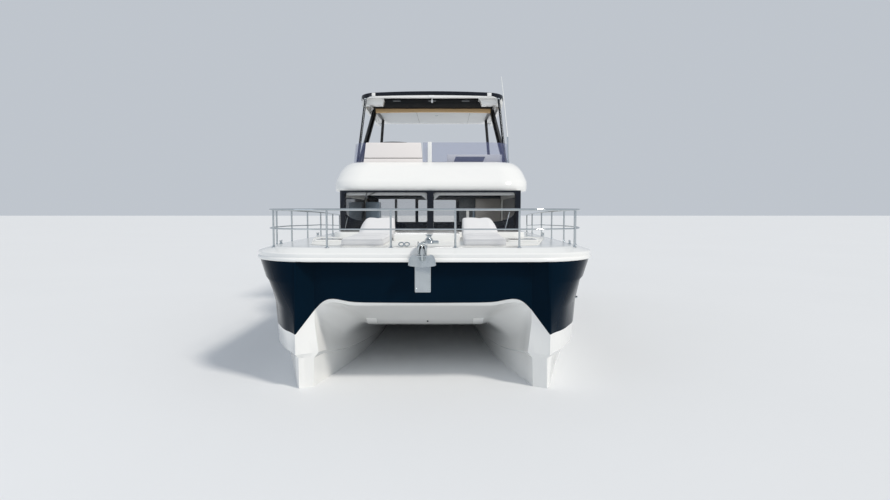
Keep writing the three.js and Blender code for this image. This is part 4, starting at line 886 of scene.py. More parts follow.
build("helm_pod", [
    (taperPod(prismPart(cover, *pod["x"], along="x", bevel=0.022)), gelcoatCream),
    (taperPod(prismPart(flange, *pod["x"], along="x", bevel=0.006)), gelcoatCream),
    (taperPod(boxPart((-1.49, -0.203), (-0.22, 0.2), (3.6, 3.65))), rubberBlack),
    (boxPart((-1.43, -0.2), (-0.11, 0.23), (wellZ, 3.56), 0.02), gelcoatWhite)],
    replaces=("fly_console",))
# White upright behind the screen, next to the pod
upright = [(-0.077, 3.5405), (0.013, 3.5405), (0.013, 3.985), (-0.005, 3.99), (-0.06, 3.99), (-0.077, 3.98)]
build("screen_upright", [(prismPart(upright, -0.238, -0.226, along="y", bevel=0.006), gelcoatWhite)])
hood = [(-1.19, 3.965), (-1.14, 3.994), (-1.0, 4.008), (-0.86, 4.012), (-0.72, 4.008), (-0.55, 3.994), (-0.48, 3.965)]
build("instrument_hood", [(prismPart(hood, -0.09, 0.02, along="y", bevel=0.004), mouldedGrey)])
print("flybridge ready")

# Hardtop: white shell, dark crown, wood beam, posts
hardtop = {"half": 1.70, "y": (0.68, 4.95), "radius": 0.33, "arch": 0.036, "ceilingZ": 5.105,
           # height of the crown's underside, its depth at the edge, more of it in the middle, its lap over the shell
           "crown": (5.1503, 0.084, 0.016, 0.046),
           # wood beam: half length, y, z and how far it is arched
           "beam": (1.48, (2.03, 2.11), (4.992, 5.1), 0.018),
           # black strips of the ceiling, lamps between them (x) and further aft (x, y), seams (x)
           "strips": [((-1.14, 1.10), (0.78, 2.02), (5.094, 5.121)), ((-1.52, 1.52), (1.104, 2.02), (5.092, 5.121))],
           "spots": (-0.85, 0.0, 0.80), "lamps": [(-0.47, 2.62), (0.53, 2.62), (0.07, 3.2)], "seams": (-0.46, 0.98),
           "cheeks": ((-1.418, -1.335), (1.30, 1.40))}


def hardtopPlan(inset, along=14):
    size = hardtop["half"] - inset
    low, high = hardtop["y"][0] + inset, hardtop["y"][1] - inset
    radius = max(hardtop["radius"] - inset, 0.02)
    corners = roundedPlan(size, low, high, radius, radius, 12)
    out = []
    # the straight edges across the boat get points too, so that they can be arched
    for i, (a, b) in enumerate(zip(corners, corners[1:] + corners[:1])):
        count = along if i in (25, 51) else 1
        out += [(a[0] + (b[0] - a[0]) * k / count, a[1] + (b[1] - a[1]) * k / count) for k in range(count)]
    return out


def archAt(x):
    return 1 - (x / hardtop["half"]) ** 2


# inset, height, and 1 where the ring follows the arch
shellRings = [(0.10, 5.12, 0.0), (0.02, 5.12, 0.0), (0.006, 5.122, 0.0), (0.0, 5.127, 0.0), (0.0, 5.142, 1.0),
              (0.004, 5.147, 1.0), (0.014, 5.15, 1.0), (0.05, 5.15, 1.0)]
shell = loftPart([[(x, y, z + rise * hardtop["arch"] * archAt(x)) for x, y in hardtopPlan(inset)]
                  for inset, z, rise in shellRings])


def crownHeight(x, rise):
    # the dark skin is as deep at the corners as in front, and laps over the white shell there
    low, depth, more, lap = hardtop["crown"]
    arch = archAt(x)
    return low + hardtop["arch"] * arch + rise * (depth + more * arch) - (1 - rise) * lap * min(
        1, max(0, (abs(x) - 1.43) / 0.16))


crownRings = [[(x, y, crownHeight(x, rise)) for x, y in hardtopPlan(inset)] for inset, rise in (
    (0.05, 0.12), (-0.003, 0.0), (-0.004, 0.3), (-0.002, 0.74), (0.008, 0.88), (0.03, 0.96), (0.08, 1), (0.5, 1),
    (0.9, 1), (1.3, 1), (1.6, 1))]
skirtSide = [(1.0, 5.13), (1.0, 5.03), (1.12, 4.985), (1.5, 4.962), (4.2, 4.962), (4.5, 4.985), (4.63, 5.03),
             (4.63, 5.13)]
skirt = prismPart(bend(skirtSide, 0.1, closed=True), 1.62, hardtop["half"], along="x", bevel=0.015)
blockFace = [(1.19, 4.985), (1.665, 4.985), (1.665, 5.13), (1.13, 5.13)]
block = prismPart(bend(blockFace, 0.015, 3, closed=True), 0.83, 1.10, along="y", bevel=0.012)
rim = prismPart(bend([(1.45, 0.95), (1.45, 4.7), (-1.45, 4.7), (-1.45, 0.95)], 0.25, 8, closed=True),
                hardtop["ceilingZ"], 5.121, bevel=0.005)
shellParts = [(part, gelcoatWhite) for part in (shell, skirt, mirrored(skirt), block, mirrored(block))]
half, (y0, y1), (z0, z1), arch = hardtop["beam"]
beamRings = []
for k in range(17):
    x = -half + 2 * half * k / 16
    lift = arch * (1 - (x / half) ** 2)
    beamRings.append([(x, y, z + lift) for y, z in roundedRect((y0, y1), (z0, z1), 0.012, 3)])
shellParts += [(rim, linerWhite), (loftPart(beamRings), beamWood)]
build("hardtop_shell", shellParts, replaces=("hardtop",))
build("hardtop_crown", [(loftPart(crownRings), glossBlack)], replaces=("hardtop_top",))
# White cheeks at the ends of the black front band
parts = [(boxPart(x, (0.670, 0.70), (5.158, 5.236), 0.004), gelcoatWhite) for x in hardtop["cheeks"]]
build("ceiling_strip", [(boxPart(*size, 0.004), blackMatte) for size in hardtop["strips"]]
      + [(boxPart((x - 0.09, x + 0.09), (0.86, 0.98), (5.088, 5.096), 0.003), mouldedGrey) for x in hardtop["spots"]])
lampRim = [(0.052, 0), (0.052, -0.006), (0.04, -0.009), (0.038, -0.004)]
lampGlass = [(0.038, 0.001), (0.038, -0.005), (0.02, -0.008), (0.0, -0.009)]
for x, y in hardtop["lamps"]:
    for profile, material in ((lampRim, steelPolished), (lampGlass, lampLens)):
        parts.append((lathePart(profile, (x, y, hardtop["ceilingZ"]), steps=32), material))
for x in hardtop["seams"]:
    parts.append((boxPart((x - 0.002, x + 0.002), (2.5, 4.66), (5.103, 5.106)), rubberBlack))
# White lamp in the front edge, and the small white fitting that hangs behind it
frontLamp = prismPart(roundedRect((-0.08, 0.06), (5.135, 5.18), 0.018, 6), 0.668, 0.69, along="y", bevel=0.004)
hanging = [(0.012, 0.0), (0.012, -0.03), (0.022, -0.045), (0.024, -0.085), (0.016, -0.10), (0.0, -0.104)]
parts += [(frontLamp, lampLens), (lathePart(hanging, (0.0, 0.76, 5.12), steps=20), linerWhite)]
build("hardtop_lamps", parts)
# Posts on each side: the thick front one, the rail under the hardtop, the aft one, and the slim stay in front
post = {"front": [(1.795, 1.2, 3.575), (1.655, 1.81, 4.394), (1.53, 2.24, 5.0777)], "frontRadius": 0.059,
        "rail": [(1.53, 2.2, 5.1), (1.50, 4.0, 5.1)],
        "aft": [(1.49, 3.94, 5.1), (1.72, 4.62, 3.10)], "aftRadius": 0.041,
        "stay": [(1.676, 0.066, roofZ), (1.575, 0.75, 5.1197)], "stayRadius": 0.03}
for side, name in sideNames:
    front, top, aft, (low, high) = ([Vector((side * x, y, z)) for x, y, z in post[key]]
                                    for key in ("front", "rail", "aft", "stay"))
    posts = [tubePart(front, post["frontRadius"], 24, flatten=(1.12, 0.95)),
             tubePart(top, 0.034, 18, flatten=(1.2, 0.5)), tubePart(aft, post["aftRadius"], 18),
             lathePart([(0.064, 0), (0.064, 0.02), (0.062, 0.034), (0.058, 0.04)], (*front[0].xy, roofZ)),
             lathePart([(0.06, 0), (0.06, 0.02), (0.054, 0.03), (0.041, 0.034)], (*aft[1].xy, wellZ))]
    build(f"hardtop_posts_{name}", [(part, powderBlack) for part in posts],
          replaces=(f"hardtop_frame_{name}",))
    inward = Vector((0, 0, 0.02))
    stay = [(tubePart([low + inward, high - inward], post["stayRadius"], 20), blackPolished),
            (lathePart([(0.036, 0), (0.036, 0.012), (0.03, 0.028)], low), steelPolished),
            (lathePart([(0.03, -0.03), (0.036, -0.01), (0.036, 0)], high), steelPolished)]
    build(f"hardtop_strut_{name}", stay, replaces=(f"hardtop_stay_{name}",))
antenna = {"foot": (1.72, -0.06), "mount": [(1.72, -0.06, 3.59), (1.712, -0.02, 4.12)],
           "whip": [(1.712, -0.024, 4.1), (1.67, 0.31, 4.88), (1.625, 0.64, 5.60)], "radii": [0.014, 0.012, 0.008]}
build("whip_antenna", [
    (lathePart([(0.02, 0), (0.02, 0.05), (0.014, 0.06)], (*antenna["foot"], roofZ)), steelPolished),
    (tubePart(antenna["mount"], 0.017), steelPolished),
    (tubePart(antenna["whip"], antenna["radii"], 14), linerWhite)],
    replaces=("antenna",))
print("hardtop ready")

# Rails: one tube along the top, one lower down, posts on round feet
rail = {"top": 0.016, "middle": 0.0105, "post": 0.0145, "drop": 0.275,
        "path": [(0.45, -5.222, 2.48), (1.345, -5.215, 2.48), (1.83, -5.10, 2.48), (2.20, -4.83, 2.48),
                 (2.345, -4.48, 2.48), (2.415, -3.90, 2.478), (2.43, -2.90, 2.47), (2.43, -1.68, 2.45),
                 (2.43, -0.43, 2.43), (2.43, 0.97, 2.39), (2.43, 1.90, 2.36)],
        "posts": [0, 1, 3, 5, 6, 7, 8, 9, 10],
        "shoe": [(0.036, 0), (0.036, 0.005), (0.03, 0.009), (0.018, 0.012), (0.016, 0.03)]}


def deckHeight(x, y):
    # Height of the deck where a post stands, from its distance to the outline
    outline = deckOutline(0)
    best = 9
    for a, b in zip(outline, outline[1:]):
        ab = Vector(b) - Vector(a)
        t = max(0, min(1, (Vector((x, y)) - Vector(a)).dot(ab) / max(ab.length_squared, 1e-9)))
        best = min(best, (Vector((x, y)) - Vector(a) - ab * t).length)
    return float(np.interp(best, [0.042, 0.25, 0.275], [1.887, 1.9485, 1.95]))


def railPosts(x, y, low, high, radius, sides, shoe):
    # A post on its round foot, on both sides of the boat
    made = []
    for side in (1, -1):
        made.append(tubePart([(side * x, y, low), (side * x, y, high)], radius, sides))
        made.append(lathePart(shoe, (side * x, y, low), steps=20))
    return made


parts = []
port = curveThrough(rail["path"], [5] * (len(rail["path"]) - 1))
for drop, radius, sides in ((0, rail["top"], 16), (rail["drop"], rail["middle"], 12)):
    whole = [(p[0], p[1], p[2] - drop) for p in port[::-1]] + [(-p[0], p[1], p[2] - drop) for p in port]
    parts.append(tubePart(whole, radius, sides))
for i in rail["posts"]:
    x, y, z = rail["path"][i]
    parts += railPosts(x, y, deckHeight(x, y) - 0.003, z, rail["post"], 16, rail["shoe"])
build("bow_rail_tubes", [(part, steelPolished) for part in parts],
      replaces=("bow_rail_port", "bow_rail_starboard"))

# Rail round the aft end of the flybridge: height and radius of its tubes, places of its posts
flyRail = {"x": 1.90, "y": (3.88, 4.80), "tubes": [(3.95, 0.016), (3.37, 0.009), (3.66, 0.009)], "corner": 0.3,
           "posts": [(1.9, 3.89), (1.9, 4.48), (1.5, 4.8), (0.6, 4.8)], "post": 0.014,
           "shoe": [(0.036, 0), (0.036, 0.005), (0.028, 0.01), (0.016, 0.014)]}
parts = []
x, (foreY, aftY) = flyRail["x"], flyRail["y"]
for z, radius in flyRail["tubes"]:
    corner = bend([(x, foreY, z), (x, aftY, z), (0.0, aftY, z)], flyRail["corner"], 10)[:-1]
    parts.append(tubePart(corner + [(-p[0], p[1], p[2]) for p in corner[::-1]], radius, 14))
for x, y in flyRail["posts"]:
    parts += railPosts(x, y, wellZ, flyRail["tubes"][0][0], flyRail["post"], 14, flyRail["shoe"])
build("flybridge_rail", [(part, steelPolished) for part in parts], replaces=("fly_rail",))
pillar = {"foot": (2.26, 4.25, deckZ), "head": (1.99, 4.25, house["z"][1]), "radius": 0.03}
for side, name in sideNames:
    foot, head = (Vector((side * x, y, z)) for x, y, z in (pillar["foot"], pillar["head"]))
    build(f"aft_pillar_{name}", [
        (tubePart([foot + Vector((0, 0, 0.01)), head - Vector((0, 0, 0.012))], pillar["radius"], 20), steelPolished),
        (lathePart([(0.055, 0), (0.055, 0.012), (0.045, 0.02), (0.03, 0.024)], foot), steelPolished),
        (lathePart([(0.03, -0.024), (0.045, -0.02), (0.05, -0.01), (0.05, 0)], head), steelPolished)],
        replaces=(f"roof_pillar_{name}",))
print("rails ready")


def blownPad(part, voxel, reach, pressure=4.0, frames=20):
    # A soft pad: the part is blown up by cloth pressure, and no point moves further than its reach
    scene = bpy.context.scene
    piece = meshObject("blown_pad", [(part, vinylPale)], 180)
    even = piece.modifiers.new("even", "REMESH")
    even.mode = "VOXEL"
    even.voxel_size = voxel
    applyModifiers(piece, 180)
    start = np.array([v.co for v in piece.data.vertices])
    cloth = piece.modifiers.new("air", "CLOTH")
    cloth.settings.quality = 4
    cloth.settings.use_pressure = True
    cloth.settings.uniform_pressure_force = pressure
    cloth.settings.effector_weights.gravity = 0
    cloth.collision_settings.use_collision = False
    cloth.point_cache.frame_start, cloth.point_cache.frame_end = 1, frames
    for step in range(1, frames + 1):
        scene.frame_set(step)
    blown = piece.evaluated_get(bpy.context.evaluated_depsgraph_get()).to_mesh()
    now = np.array([v.co for v in blown.vertices])
    piece.modifiers.clear()
    move = now - start
    length = np.linalg.norm(move, axis=1)
    move *= np.minimum(1, reach / np.maximum(length, 1e-9))[:, None]
    now = start + move
    # It lies flat on what carries it
    now[:, 2] = np.maximum(now[:, 2], start[:, 2].min())
    for vertex, place in zip(piece.data.vertices, now):
        vertex.co = place
    bm = bmesh.new()
    bm.from_mesh(piece.data)
    for turn in range(3):
        bmesh.ops.smooth_vert(bm, verts=bm.verts, factor=0.5, use_axis_x=True, use_axis_y=True, use_axis_z=True)
    bm.to_mesh(piece.data)
    bm.free()
    fine = piece.modifiers.new("fine", "SUBSURF")
    fine.levels = fine.render_levels = 1
    applyModifiers(piece, 180)
    made = partOf(piece)
    bpy.data.objects.remove(piece)
    scene.frame_set(1)
    return made


def seamOn(part, path, radius, closed=True, spacing=0.02):
    # A sewn seam or welt that lies on the pad along the path
    surface = BVHTree.FromPolygons(part[0], part[1])
    points = []
    ends = path + path[:1] if closed else path
    for a, b in zip(ends, ends[1:]):
        a, b = Vector(a), Vector(b)
        steps = max(1, round((b - a).length / spacing))
        points += [surface.find_nearest(a.lerp(b, k / steps))[0] for k in range(steps)]
    if not closed:
        points.append(surface.find_nearest(Vector(ends[-1]))[0])
    return tubePart(points, radius, 8, closed)


def padBlock(x, y, z, bevel=0.02, inset=0.01):
    return boxPart((x[0] + inset, x[1] - inset), (y[0] + inset, y[1] - inset), (z[0], z[1] - inset), bevel, 4)


def weltPath(first, second, axis, place):
    # Round the face of a pad that looks along the axis, at that place on it
    at = "xyz".index(axis)
    corners = ((first[0], second[0]), (first[1], second[0]), (first[1], second[1]), (first[0], second[1]))
    return [(*corner[:at], place, *corner[at:]) for corner in corners]


def lyingPad(x, y, z, voxel=0.018, reach=0.016):
    # A pad and its welts: round the top edge, and near the bottom
    pad = blownPad(padBlock(x, y, z), voxel, reach)
    return [pad, seamOn(pad, weltPath(x, y, "z", z[1]), 0.004), seamOn(pad, weltPath(x, y, "z", z[0] + 0.02), 0.003)]


def standingPad(x, y, z, face, voxel=0.018, reach=0.014):
    # face: the side that is leaned on, such as "+y"; the welt goes round it
    pad = blownPad(padBlock(x, y, z, 0.025, 0.012), voxel, reach)
    across, along = (x, y) if face[1] == "y" else (y, x)
    return [pad, seamOn(pad, weltPath(across, z, face[1], along[face[0] == "+"]), 0.004)]


def dressed(parts, cover, welt, place=None):
    # The pad in its cover, what is sewn on it in the colour of the welt
    placed = [moved(part, place) for part in parts] if place else parts
    return [(part, welt if i else cover) for i, part in enumerate(placed)]


def soften(name, parts, body="yacht", replaces=()):
    piece = build(name, parts, body, replaces, 180)
    return piece


# Sun loungers: the mattress runs from front to seam, the raised back from seam to aft
lounge = {"front": -4.995, "seam": -2.93, "aft": -2.40, "under": 1.9525, "seat": 2.072,
          "inner": 0.568, "innerAft": 0.612, "outer": (1.198, 1.285, 1.31), "shoulder": 1.12,
          # cross seams, heights and radii of the welts, path of the back's welt
          "crossSeams": (-4.31, -3.62), "welts": ((2.05, 0.004), (1.975, 0.003)),
          "backWelt": [(0.63, -2.50, 2.34), (1.09, -2.50, 2.34), (1.20, -2.53, 2.24), (1.29, -2.60, 2.11),
                       (1.27, -2.90, 2.06), (0.60, -2.92, 2.06)]}


def loungePlan(y):
    t = (y - lounge["front"]) / (lounge["aft"] - lounge["front"])
    outer = np.interp(y, [lounge["front"], lounge["seam"], lounge["aft"]], lounge["outer"])
    return lounge["inner"] + (lounge["innerAft"] - lounge["inner"]) * t, float(outer)


def mattressPart():
    rings = []
    height = (lounge["under"], lounge["seat"] - 0.006)
    for y in np.linspace(lounge["front"], lounge["seam"] - 0.002, 12):
        x0, x1 = loungePlan(y)
        rings.append([(x, y, z) for x, z in roundedRect((x0 + 0.002, x1 - 0.002), height, 0.02, 3)])
    return loftPart(rings)


def backPart():
    # side profile of the raised back, lowered towards its outer shoulder
    seam, aft, under, shoulder = (lounge[key] for key in ("seam", "aft", "under", "shoulder"))
    profile = [(seam + 0.006, under), (aft - 0.01, under), (aft - 0.012, 2.332), (-2.50, 2.336), (-2.72, 2.10),
               (seam + 0.02, 2.048), (seam + 0.006, 2.03)]
    slopeZ = 2.04
    rings = []
    for t in (0, 0.03, 0.1, 0.25, 0.45, 0.6, 0.7, 0.78, 0.85, 0.91, 0.96, 1.0):
        ring = []
        for y, z in profile:
            x0, x1 = loungePlan(y)
            x = x0 + 0.008 + (x1 - x0 - 0.016) * t
            over = max(0.0, (x - shoulder) / (x1 - 0.008 - shoulder))
            low = under + (slopeZ - under) * min(1, (z - under) / 0.09)
            ring.append((x, y, low + (z - low) * max(0, 1 - over ** 1.6) ** 0.8 if z > slopeZ else z))
        rings.append(ring)
    return loftPart(rings)


mattress = blownPad(mattressPart(), 0.021, 0.014)
backrest = blownPad(backPart(), 0.017, 0.012)
frontY, seamY = lounge["front"], lounge["seam"]
(x0, x1), (x2, x3) = loungePlan(frontY), loungePlan(seamY)
mattressParts = [mattress]
for z, radius in lounge["welts"]:
    rim = [(x0, frontY, z), (x1, frontY, z), (x3, seamY, z), (x2, seamY, z)]
    mattressParts.append(seamOn(mattress, rim, radius))
for y in lounge["crossSeams"]:
    low, high = loungePlan(y)
    mattressParts.append(seamOn(mattress, [(low + 0.03, y, 2.08), (high - 0.03, y, 2.08)], 0.0025, closed=False))
backParts = [backrest, seamOn(backrest, lounge["backWelt"], 0.004)]
for side, name in sideNames:
    lying, raised = ([sided(part, side) for part in parts] for parts in (mattressParts, backParts))
    soften(f"sun_pad_{name}", dressed(lying, vinylPale, vinylWelt), replaces=(f"sun_lounger_{name}",))
    soften(f"sun_pad_back_{name}", dressed(raised, vinylPale, vinylWelt))
print("sun pads ready")

# Sofa of the flybridge: moulded base and shell, loose pads
sofa = {"front": ((0.35, 1.60), (0.06, 0.66)), "side": ((1.03, 1.60), (0.60, 2.70)), "floor": wellZ, "base": 3.362,
        "seat": 3.482, "top": 3.735, "locker": [(0.50, 3.56), (1.16, 3.56), (1.22, 3.69), (0.55, 3.69)]}
build("flybridge_sofa_base", [
    (boxPart(*sofa["front"], (sofa["floor"], sofa["base"]), 0.02, 3), gelcoatWhite),
    (boxPart(*sofa["side"], (sofa["floor"], sofa["base"] - 0.002), 0.02, 3), gelcoatWhite),
    (boxPart(sofa["front"][0], (0.06, 0.09), (3.34, sofa["top"]), 0.01, 3), gelcoatWhite),
    (boxPart((1.572, 1.60), (0.07, 2.70), (3.34, sofa["top"] - 0.002), 0.01, 3), gelcoatWhite),
    (prismPart(sofa["locker"], 0.052, 0.062, along="y", bevel=0.003), mouldedGrey)],
    replaces=("fly_sofa",))
under, seatTop, backTop = sofa["base"] + 0.002, sofa["seat"], sofa["top"] + 0.005
for name, parts in (
        ("front_seat", lyingPad((0.36, 1.56), (0.22, 0.655), (under, seatTop))),
        ("side_seat", lyingPad((1.04, 1.44), (0.665, 2.69), (under, seatTop), 0.022)),
        ("front_back", standingPad((0.36, 1.56), (0.094, 0.21), (under + 0.002, backTop), "+y")),
        ("side_back", standingPad((1.45, 1.568), (0.22, 2.69), (under + 0.002, backTop - 0.002), "-x", 0.021))):
    soften(f"flybridge_{name}_pad", dressed(parts, vinylPale, vinylWelt))

# Helm seats: pedestal, moulded shell, one seat pad and one back pad; the lower one is a copy in charcoal
seat = {"pad": ((-0.30, 0.30), (0.005, 0.44), (0.425, 0.54)), "back": ((-0.285, 0.285), (0.445, 0.55), (0.50, 0.99)),
        "shell": ((-0.305, 0.305), (0.01, 0.50), (0.40, 0.424)),
        "backShell": ((-0.28, 0.28), (0.552, 0.575), (0.44, 0.97)),
        "bracket": ((-0.2, 0.2), (0.44, 0.58), (0.40, 0.47)),
        # degrees the back leans, the middle of the pedestal, and its profile
        "lean": 6, "middle": 0.25,
        "pedestal": [(0.17, 0), (0.17, 0.008), (0.16, 0.016), (0.075, 0.035), (0.06, 0.06), (0.06, 0.30),
                     (0.075, 0.32), (0.12, 0.395), (0.12, 0.402)]}
seatPad = lyingPad(*seat["pad"], 0.015)
backPad = standingPad(*seat["back"], "-y", 0.015)
lean = (Matrix.Translation((0, 0.5, 0.5)) @ Matrix.Rotation(math.radians(-seat["lean"]), 4, "X")
        @ Matrix.Translation((0, -0.5, -0.5)))
for name, place, floorZ, cover, welt, node, slotName in (
        ("flybridge", (-0.87, 0.57, 3.08), wellZ, vinylPale, vinylWelt, "fly_helm_seat", "white_vinyl"),
        ("saloon", (-1.03, 0.13, 0.92), soleZ, fabricDark, fabricWelt, "helm_seat", "grey_vinyl")):
    move = Matrix.Translation(place)
    centre = (place[0], place[1] + seat["middle"], floorZ)
    shell = [(moved(boxPart(*seat["shell"], 0.01, 3), move), mouldedGrey),
             (moved(moved(boxPart(*seat["backShell"], 0.01, 3), lean), move), mouldedGrey),
             (moved(boxPart(*seat["bracket"], 0.02, 3), move), mouldedGrey),
             (lathePart(seat["pedestal"], centre, steps=32), steelBrushed)]
    build(f"{name}_seat_frame", shell, replaces=(node,))
    soften(f"{name}_seat_pad", dressed(seatPad, cover, welt, move))
    leaned = [moved(part, lean) for part in backPad]
    soften(f"{name}_seat_back", dressed(leaned, cover, welt, move))
print("helm seats ready")

# Cockpit bench and saloon sofa: moulded bases with loose pads
bench = {"x": (-0.78, 0.60), "padX": (-0.77, 0.59), "y": (4.28, 4.88), "base": 1.225, "top": 1.752}
build("cockpit_bench_base", [
    (boxPart(bench["x"], bench["y"], (soleZ, bench["base"]), 0.015, 3), gelcoatWhite),
    (boxPart(bench["x"], (4.845, 4.88), (1.2, bench["top"]), 0.01, 3), gelcoatWhite)],
    replaces=("cockpit_bench",))
for name, parts in (
        ("seat", lyingPad(bench["padX"], (4.285, 4.72), (bench["base"] + 0.002, 1.33))),
        ("back", standingPad(bench["padX"], (4.73, 4.842), (1.23, bench["top"] + 0.005), "-y", 0.019))):
    soften(f"cockpit_{name}_pad", dressed(parts, vinylPale, vinylWelt))
sofa = {"base": (soleZ, 1.25), "shell": (1.24, 1.76), "seat": (1.252, 1.362), "back": (1.255, 1.776, 1.778)}
low, sideTop, frontTop = sofa["back"]
# The base's warm grey is painted shade
build("saloon_sofa_base", [(boxPart(x, y, z, bevel, 3), panelWarmPaintedShade) for x, y, z, bevel in (
    ((1.15, 1.82), (-0.30, 2.50), sofa["base"], 0.01), ((0.50, 1.82), (-0.90, -0.30), sofa["base"], 0.01),
    ((0.50, 1.82), (-0.90, -0.872), sofa["shell"], 0.008), ((1.792, 1.82), (-0.88, 2.50), sofa["shell"], 0.008))],
    replaces=("saloon_sofa",))
for name, parts in (
        ("front_seat", lyingPad((0.51, 1.67), (-0.75, -0.305), sofa["seat"])),
        ("side_seat", lyingPad((1.16, 1.67), (-0.295, 2.49), sofa["seat"], 0.025)),
        ("front_back", standingPad((0.51, 1.67), (-0.87, -0.76), (low, frontTop), "+y", 0.02)),
        ("side_back", standingPad((1.68, 1.79), (-0.74, 2.49), (low, sideTop), "-x", 0.026))):
    soften(f"saloon_{name}_pad", dressed(parts, fabricDark, fabricWelt))
print("pads ready")

# Saloon behind the glass: galley with one tall unit, panels beside the aft opening
galley = {"y": (1.15, 3.02), "wallX": -1.82, "frontX": -1.22, "topZ": (1.79, 1.822), "tallX": -1.465, "tallY": 2.45,
          "tallZ": 2.70, "doors": (1.17, 1.63, 2.09, 2.55), "doorWidth": 0.44}
wallX, (lowTop, highTop) = galley["wallX"], galley["topZ"]
# The tall unit's cool blue-grey is painted shade
tallUnit = boxPart((wallX, galley["tallX"]), (galley["tallY"], galley["y"][1]), (highTop, galley["tallZ"]), 0.008)
# The lower units' warm grey is painted shade
parts = [(boxPart((wallX, galley["frontX"]), galley["y"], (soleZ, lowTop), 0.006), panelWarmPaintedShade),
         (boxPart((wallX, galley["frontX"] + 0.04), galley["y"], galley["topZ"], 0.006), linerWhite),
         (tallUnit, panelCoolPaintedShade)]
for y in galley["doors"]:
    parts.append((boxPart((-1.226, -1.2185), (y, y + galley["doorWidth"]), (0.98, 1.76), 0.003), linerWhite))
for y in galley["doors"]:
    parts.append((boxPart((-1.215, -1.205), (y + 0.12, y + 0.32), (1.70, 1.712), 0.003), steelBrushed))
build("galley_units", parts, replaces=("galley",))
# Panels on the aft bulkhead with their lamp, the header over its opening, the edge of the door beyond
bulkheadY, lampY, panelZ = (3.03, 3.0497), (3.022, 3.032), (0.925, 2.80)
build("saloon_panels", [
    # Panel in warm grey painted shade
    (boxPart((1.15, 1.84), (2.96, 3.045), panelZ, 0.006), panelWarmPaintedShade),
    (boxPart((0.70, 1.145), bulkheadY, panelZ, 0.004), mouldedGrey),
    (boxPart((0.90, 0.975), lampY, (2.28, 2.50), 0.003), lampLens),
    # Strip beside the lamp: cool blue-grey painted shade
    (boxPart((1.075, 1.125), lampY, (2.08, 2.52), 0.003), panelCoolPaintedShade),
    (boxPart((-1.848, 1.848), bulkheadY, (2.80, 2.86), 0.004), mouldedGrey),
    (boxPart((-1.09, -1.02), (3.05, 3.064), (0.985, 2.785), 0.004), mouldedGrey)])
dash = [(-0.92, 2.004), (-0.57, 1.966), (-0.60, 2.05), (-0.70, 2.07), (-0.90, 2.045)]
build("helm_dash", [(prismPart(dash, -1.46, -0.62, along="x", bevel=0.012), mouldedGrey)])


def repeated(name, paths, shape, spacing, size, material, body="yacht"):
    # Small repeated forms along a path, made with Geometry Nodes
    tree = bpy.data.node_groups.new(f"{name}_row", "GeometryNodeTree")
    for label, kind in (("Geometry", "Geometry"), ("Spacing", "Float"), ("Size", "Vector"), ("Finish", "Material")):
        tree.interface.new_socket(label, in_out="INPUT", socket_type=f"NodeSocket{kind}")
    tree.interface.new_socket("Geometry", in_out="OUTPUT", socket_type="NodeSocketGeometry")
    given = addNode(tree, "NodeGroupInput")
    curve = addNode(tree, "GeometryNodeMeshToCurve", {"Mesh": given.outputs["Geometry"]})
    spots = addNode(tree, "GeometryNodeCurveToPoints", {
        "Curve": curve.outputs["Curve"], "Length": given.outputs["Spacing"]}, mode="LENGTH")
    if shape == "bar":
        form = addNode(tree, "GeometryNodeMeshCube", {"Size": (1, 1, 1)})
    else:
        form = addNode(tree, "GeometryNodeMeshUVSphere", {"Segments": 10, "Rings": 6, "Radius": 0.5})
    copies = addNode(tree, "GeometryNodeInstanceOnPoints", {
        "Points": spots.outputs["Points"], "Instance": form.outputs["Mesh"], "Scale": given.outputs["Size"]})
    real = addNode(tree, "GeometryNodeRealizeInstances", {"Geometry": copies.outputs["Instances"]})
    dressedRow = addNode(tree, "GeometryNodeSetMaterial", {
        "Geometry": real.outputs["Geometry"], "Material": given.outputs["Finish"]})
    addNode(tree, "NodeGroupOutput", {"Geometry": dressedRow.outputs["Geometry"]})
    points, edges = [], []
    for path in paths:
        start = len(points)
        points += [tuple(p) for p in path]
        edges += [(start + i, start + i + 1) for i in range(len(path) - 1)]
    mesh = bpy.data.meshes.new(name)
    mesh.from_pydata(points, edges, [])
    piece = bpy.data.objects.new(name, mesh)
    bpy.context.scene.collection.objects.link(piece)
    row = piece.modifiers.new("row", "NODES")
    row.node_group = tree
    values = {"Spacing": spacing, "Size": size, "Finish": material}
    for item in tree.interface.items_tree:
        if item.in_out == "INPUT" and item.name in values:
            row[item.identifier] = values[item.name]
    made = bpy.data.meshes.new_from_object(piece.evaluated_get(bpy.context.evaluated_depsgraph_get()))
    piece.modifiers.clear()
    piece.data = made
    made.shade_smooth()
    made.set_sharp_from_angle(angle=math.radians(32))
    return declare(piece, body)


# Bow roller with its guard plate, anchor, windlass
bow = {"plate": ((-0.11, 0.11), (1.34, 1.764)), "front": (-5.38, -5.3723), "roller": (0, -5.575, 1.975),
       # rivets of the guard plate: pitch, x of the rows, y, height from and to
       "rivet": 0.03, "rivetX": (-0.097, 0.097), "rivetY": -5.3805, "rivetZ": (1.36, 1.745),
       # side view of the cheeks, profile of the roller
       "cheek": [(-5.60, 1.925), (-5.56, 1.905), (-5.512, 1.905), (-5.505, 1.955), (-5.16, 1.975), (-5.16, 2.01),
                 (-5.48, 2.05), (-5.575, 2.035), (-5.60, 2.0)],
       "groove": [(0.02, -0.052), (0.028, -0.05), (0.028, -0.04), (0.018, -0.02), (0.015, 0), (0.018, 0.02),
                  (0.028, 0.04), (0.028, 0.05), (0.02, 0.052)]}
guard = prismPart(roundedRect(*bow["plate"], 0.012), *bow["front"], along="y", bevel=0.002)
cheek = prismPart(bow["cheek"], 0.054, 0.062, along="x", bevel=0.002)
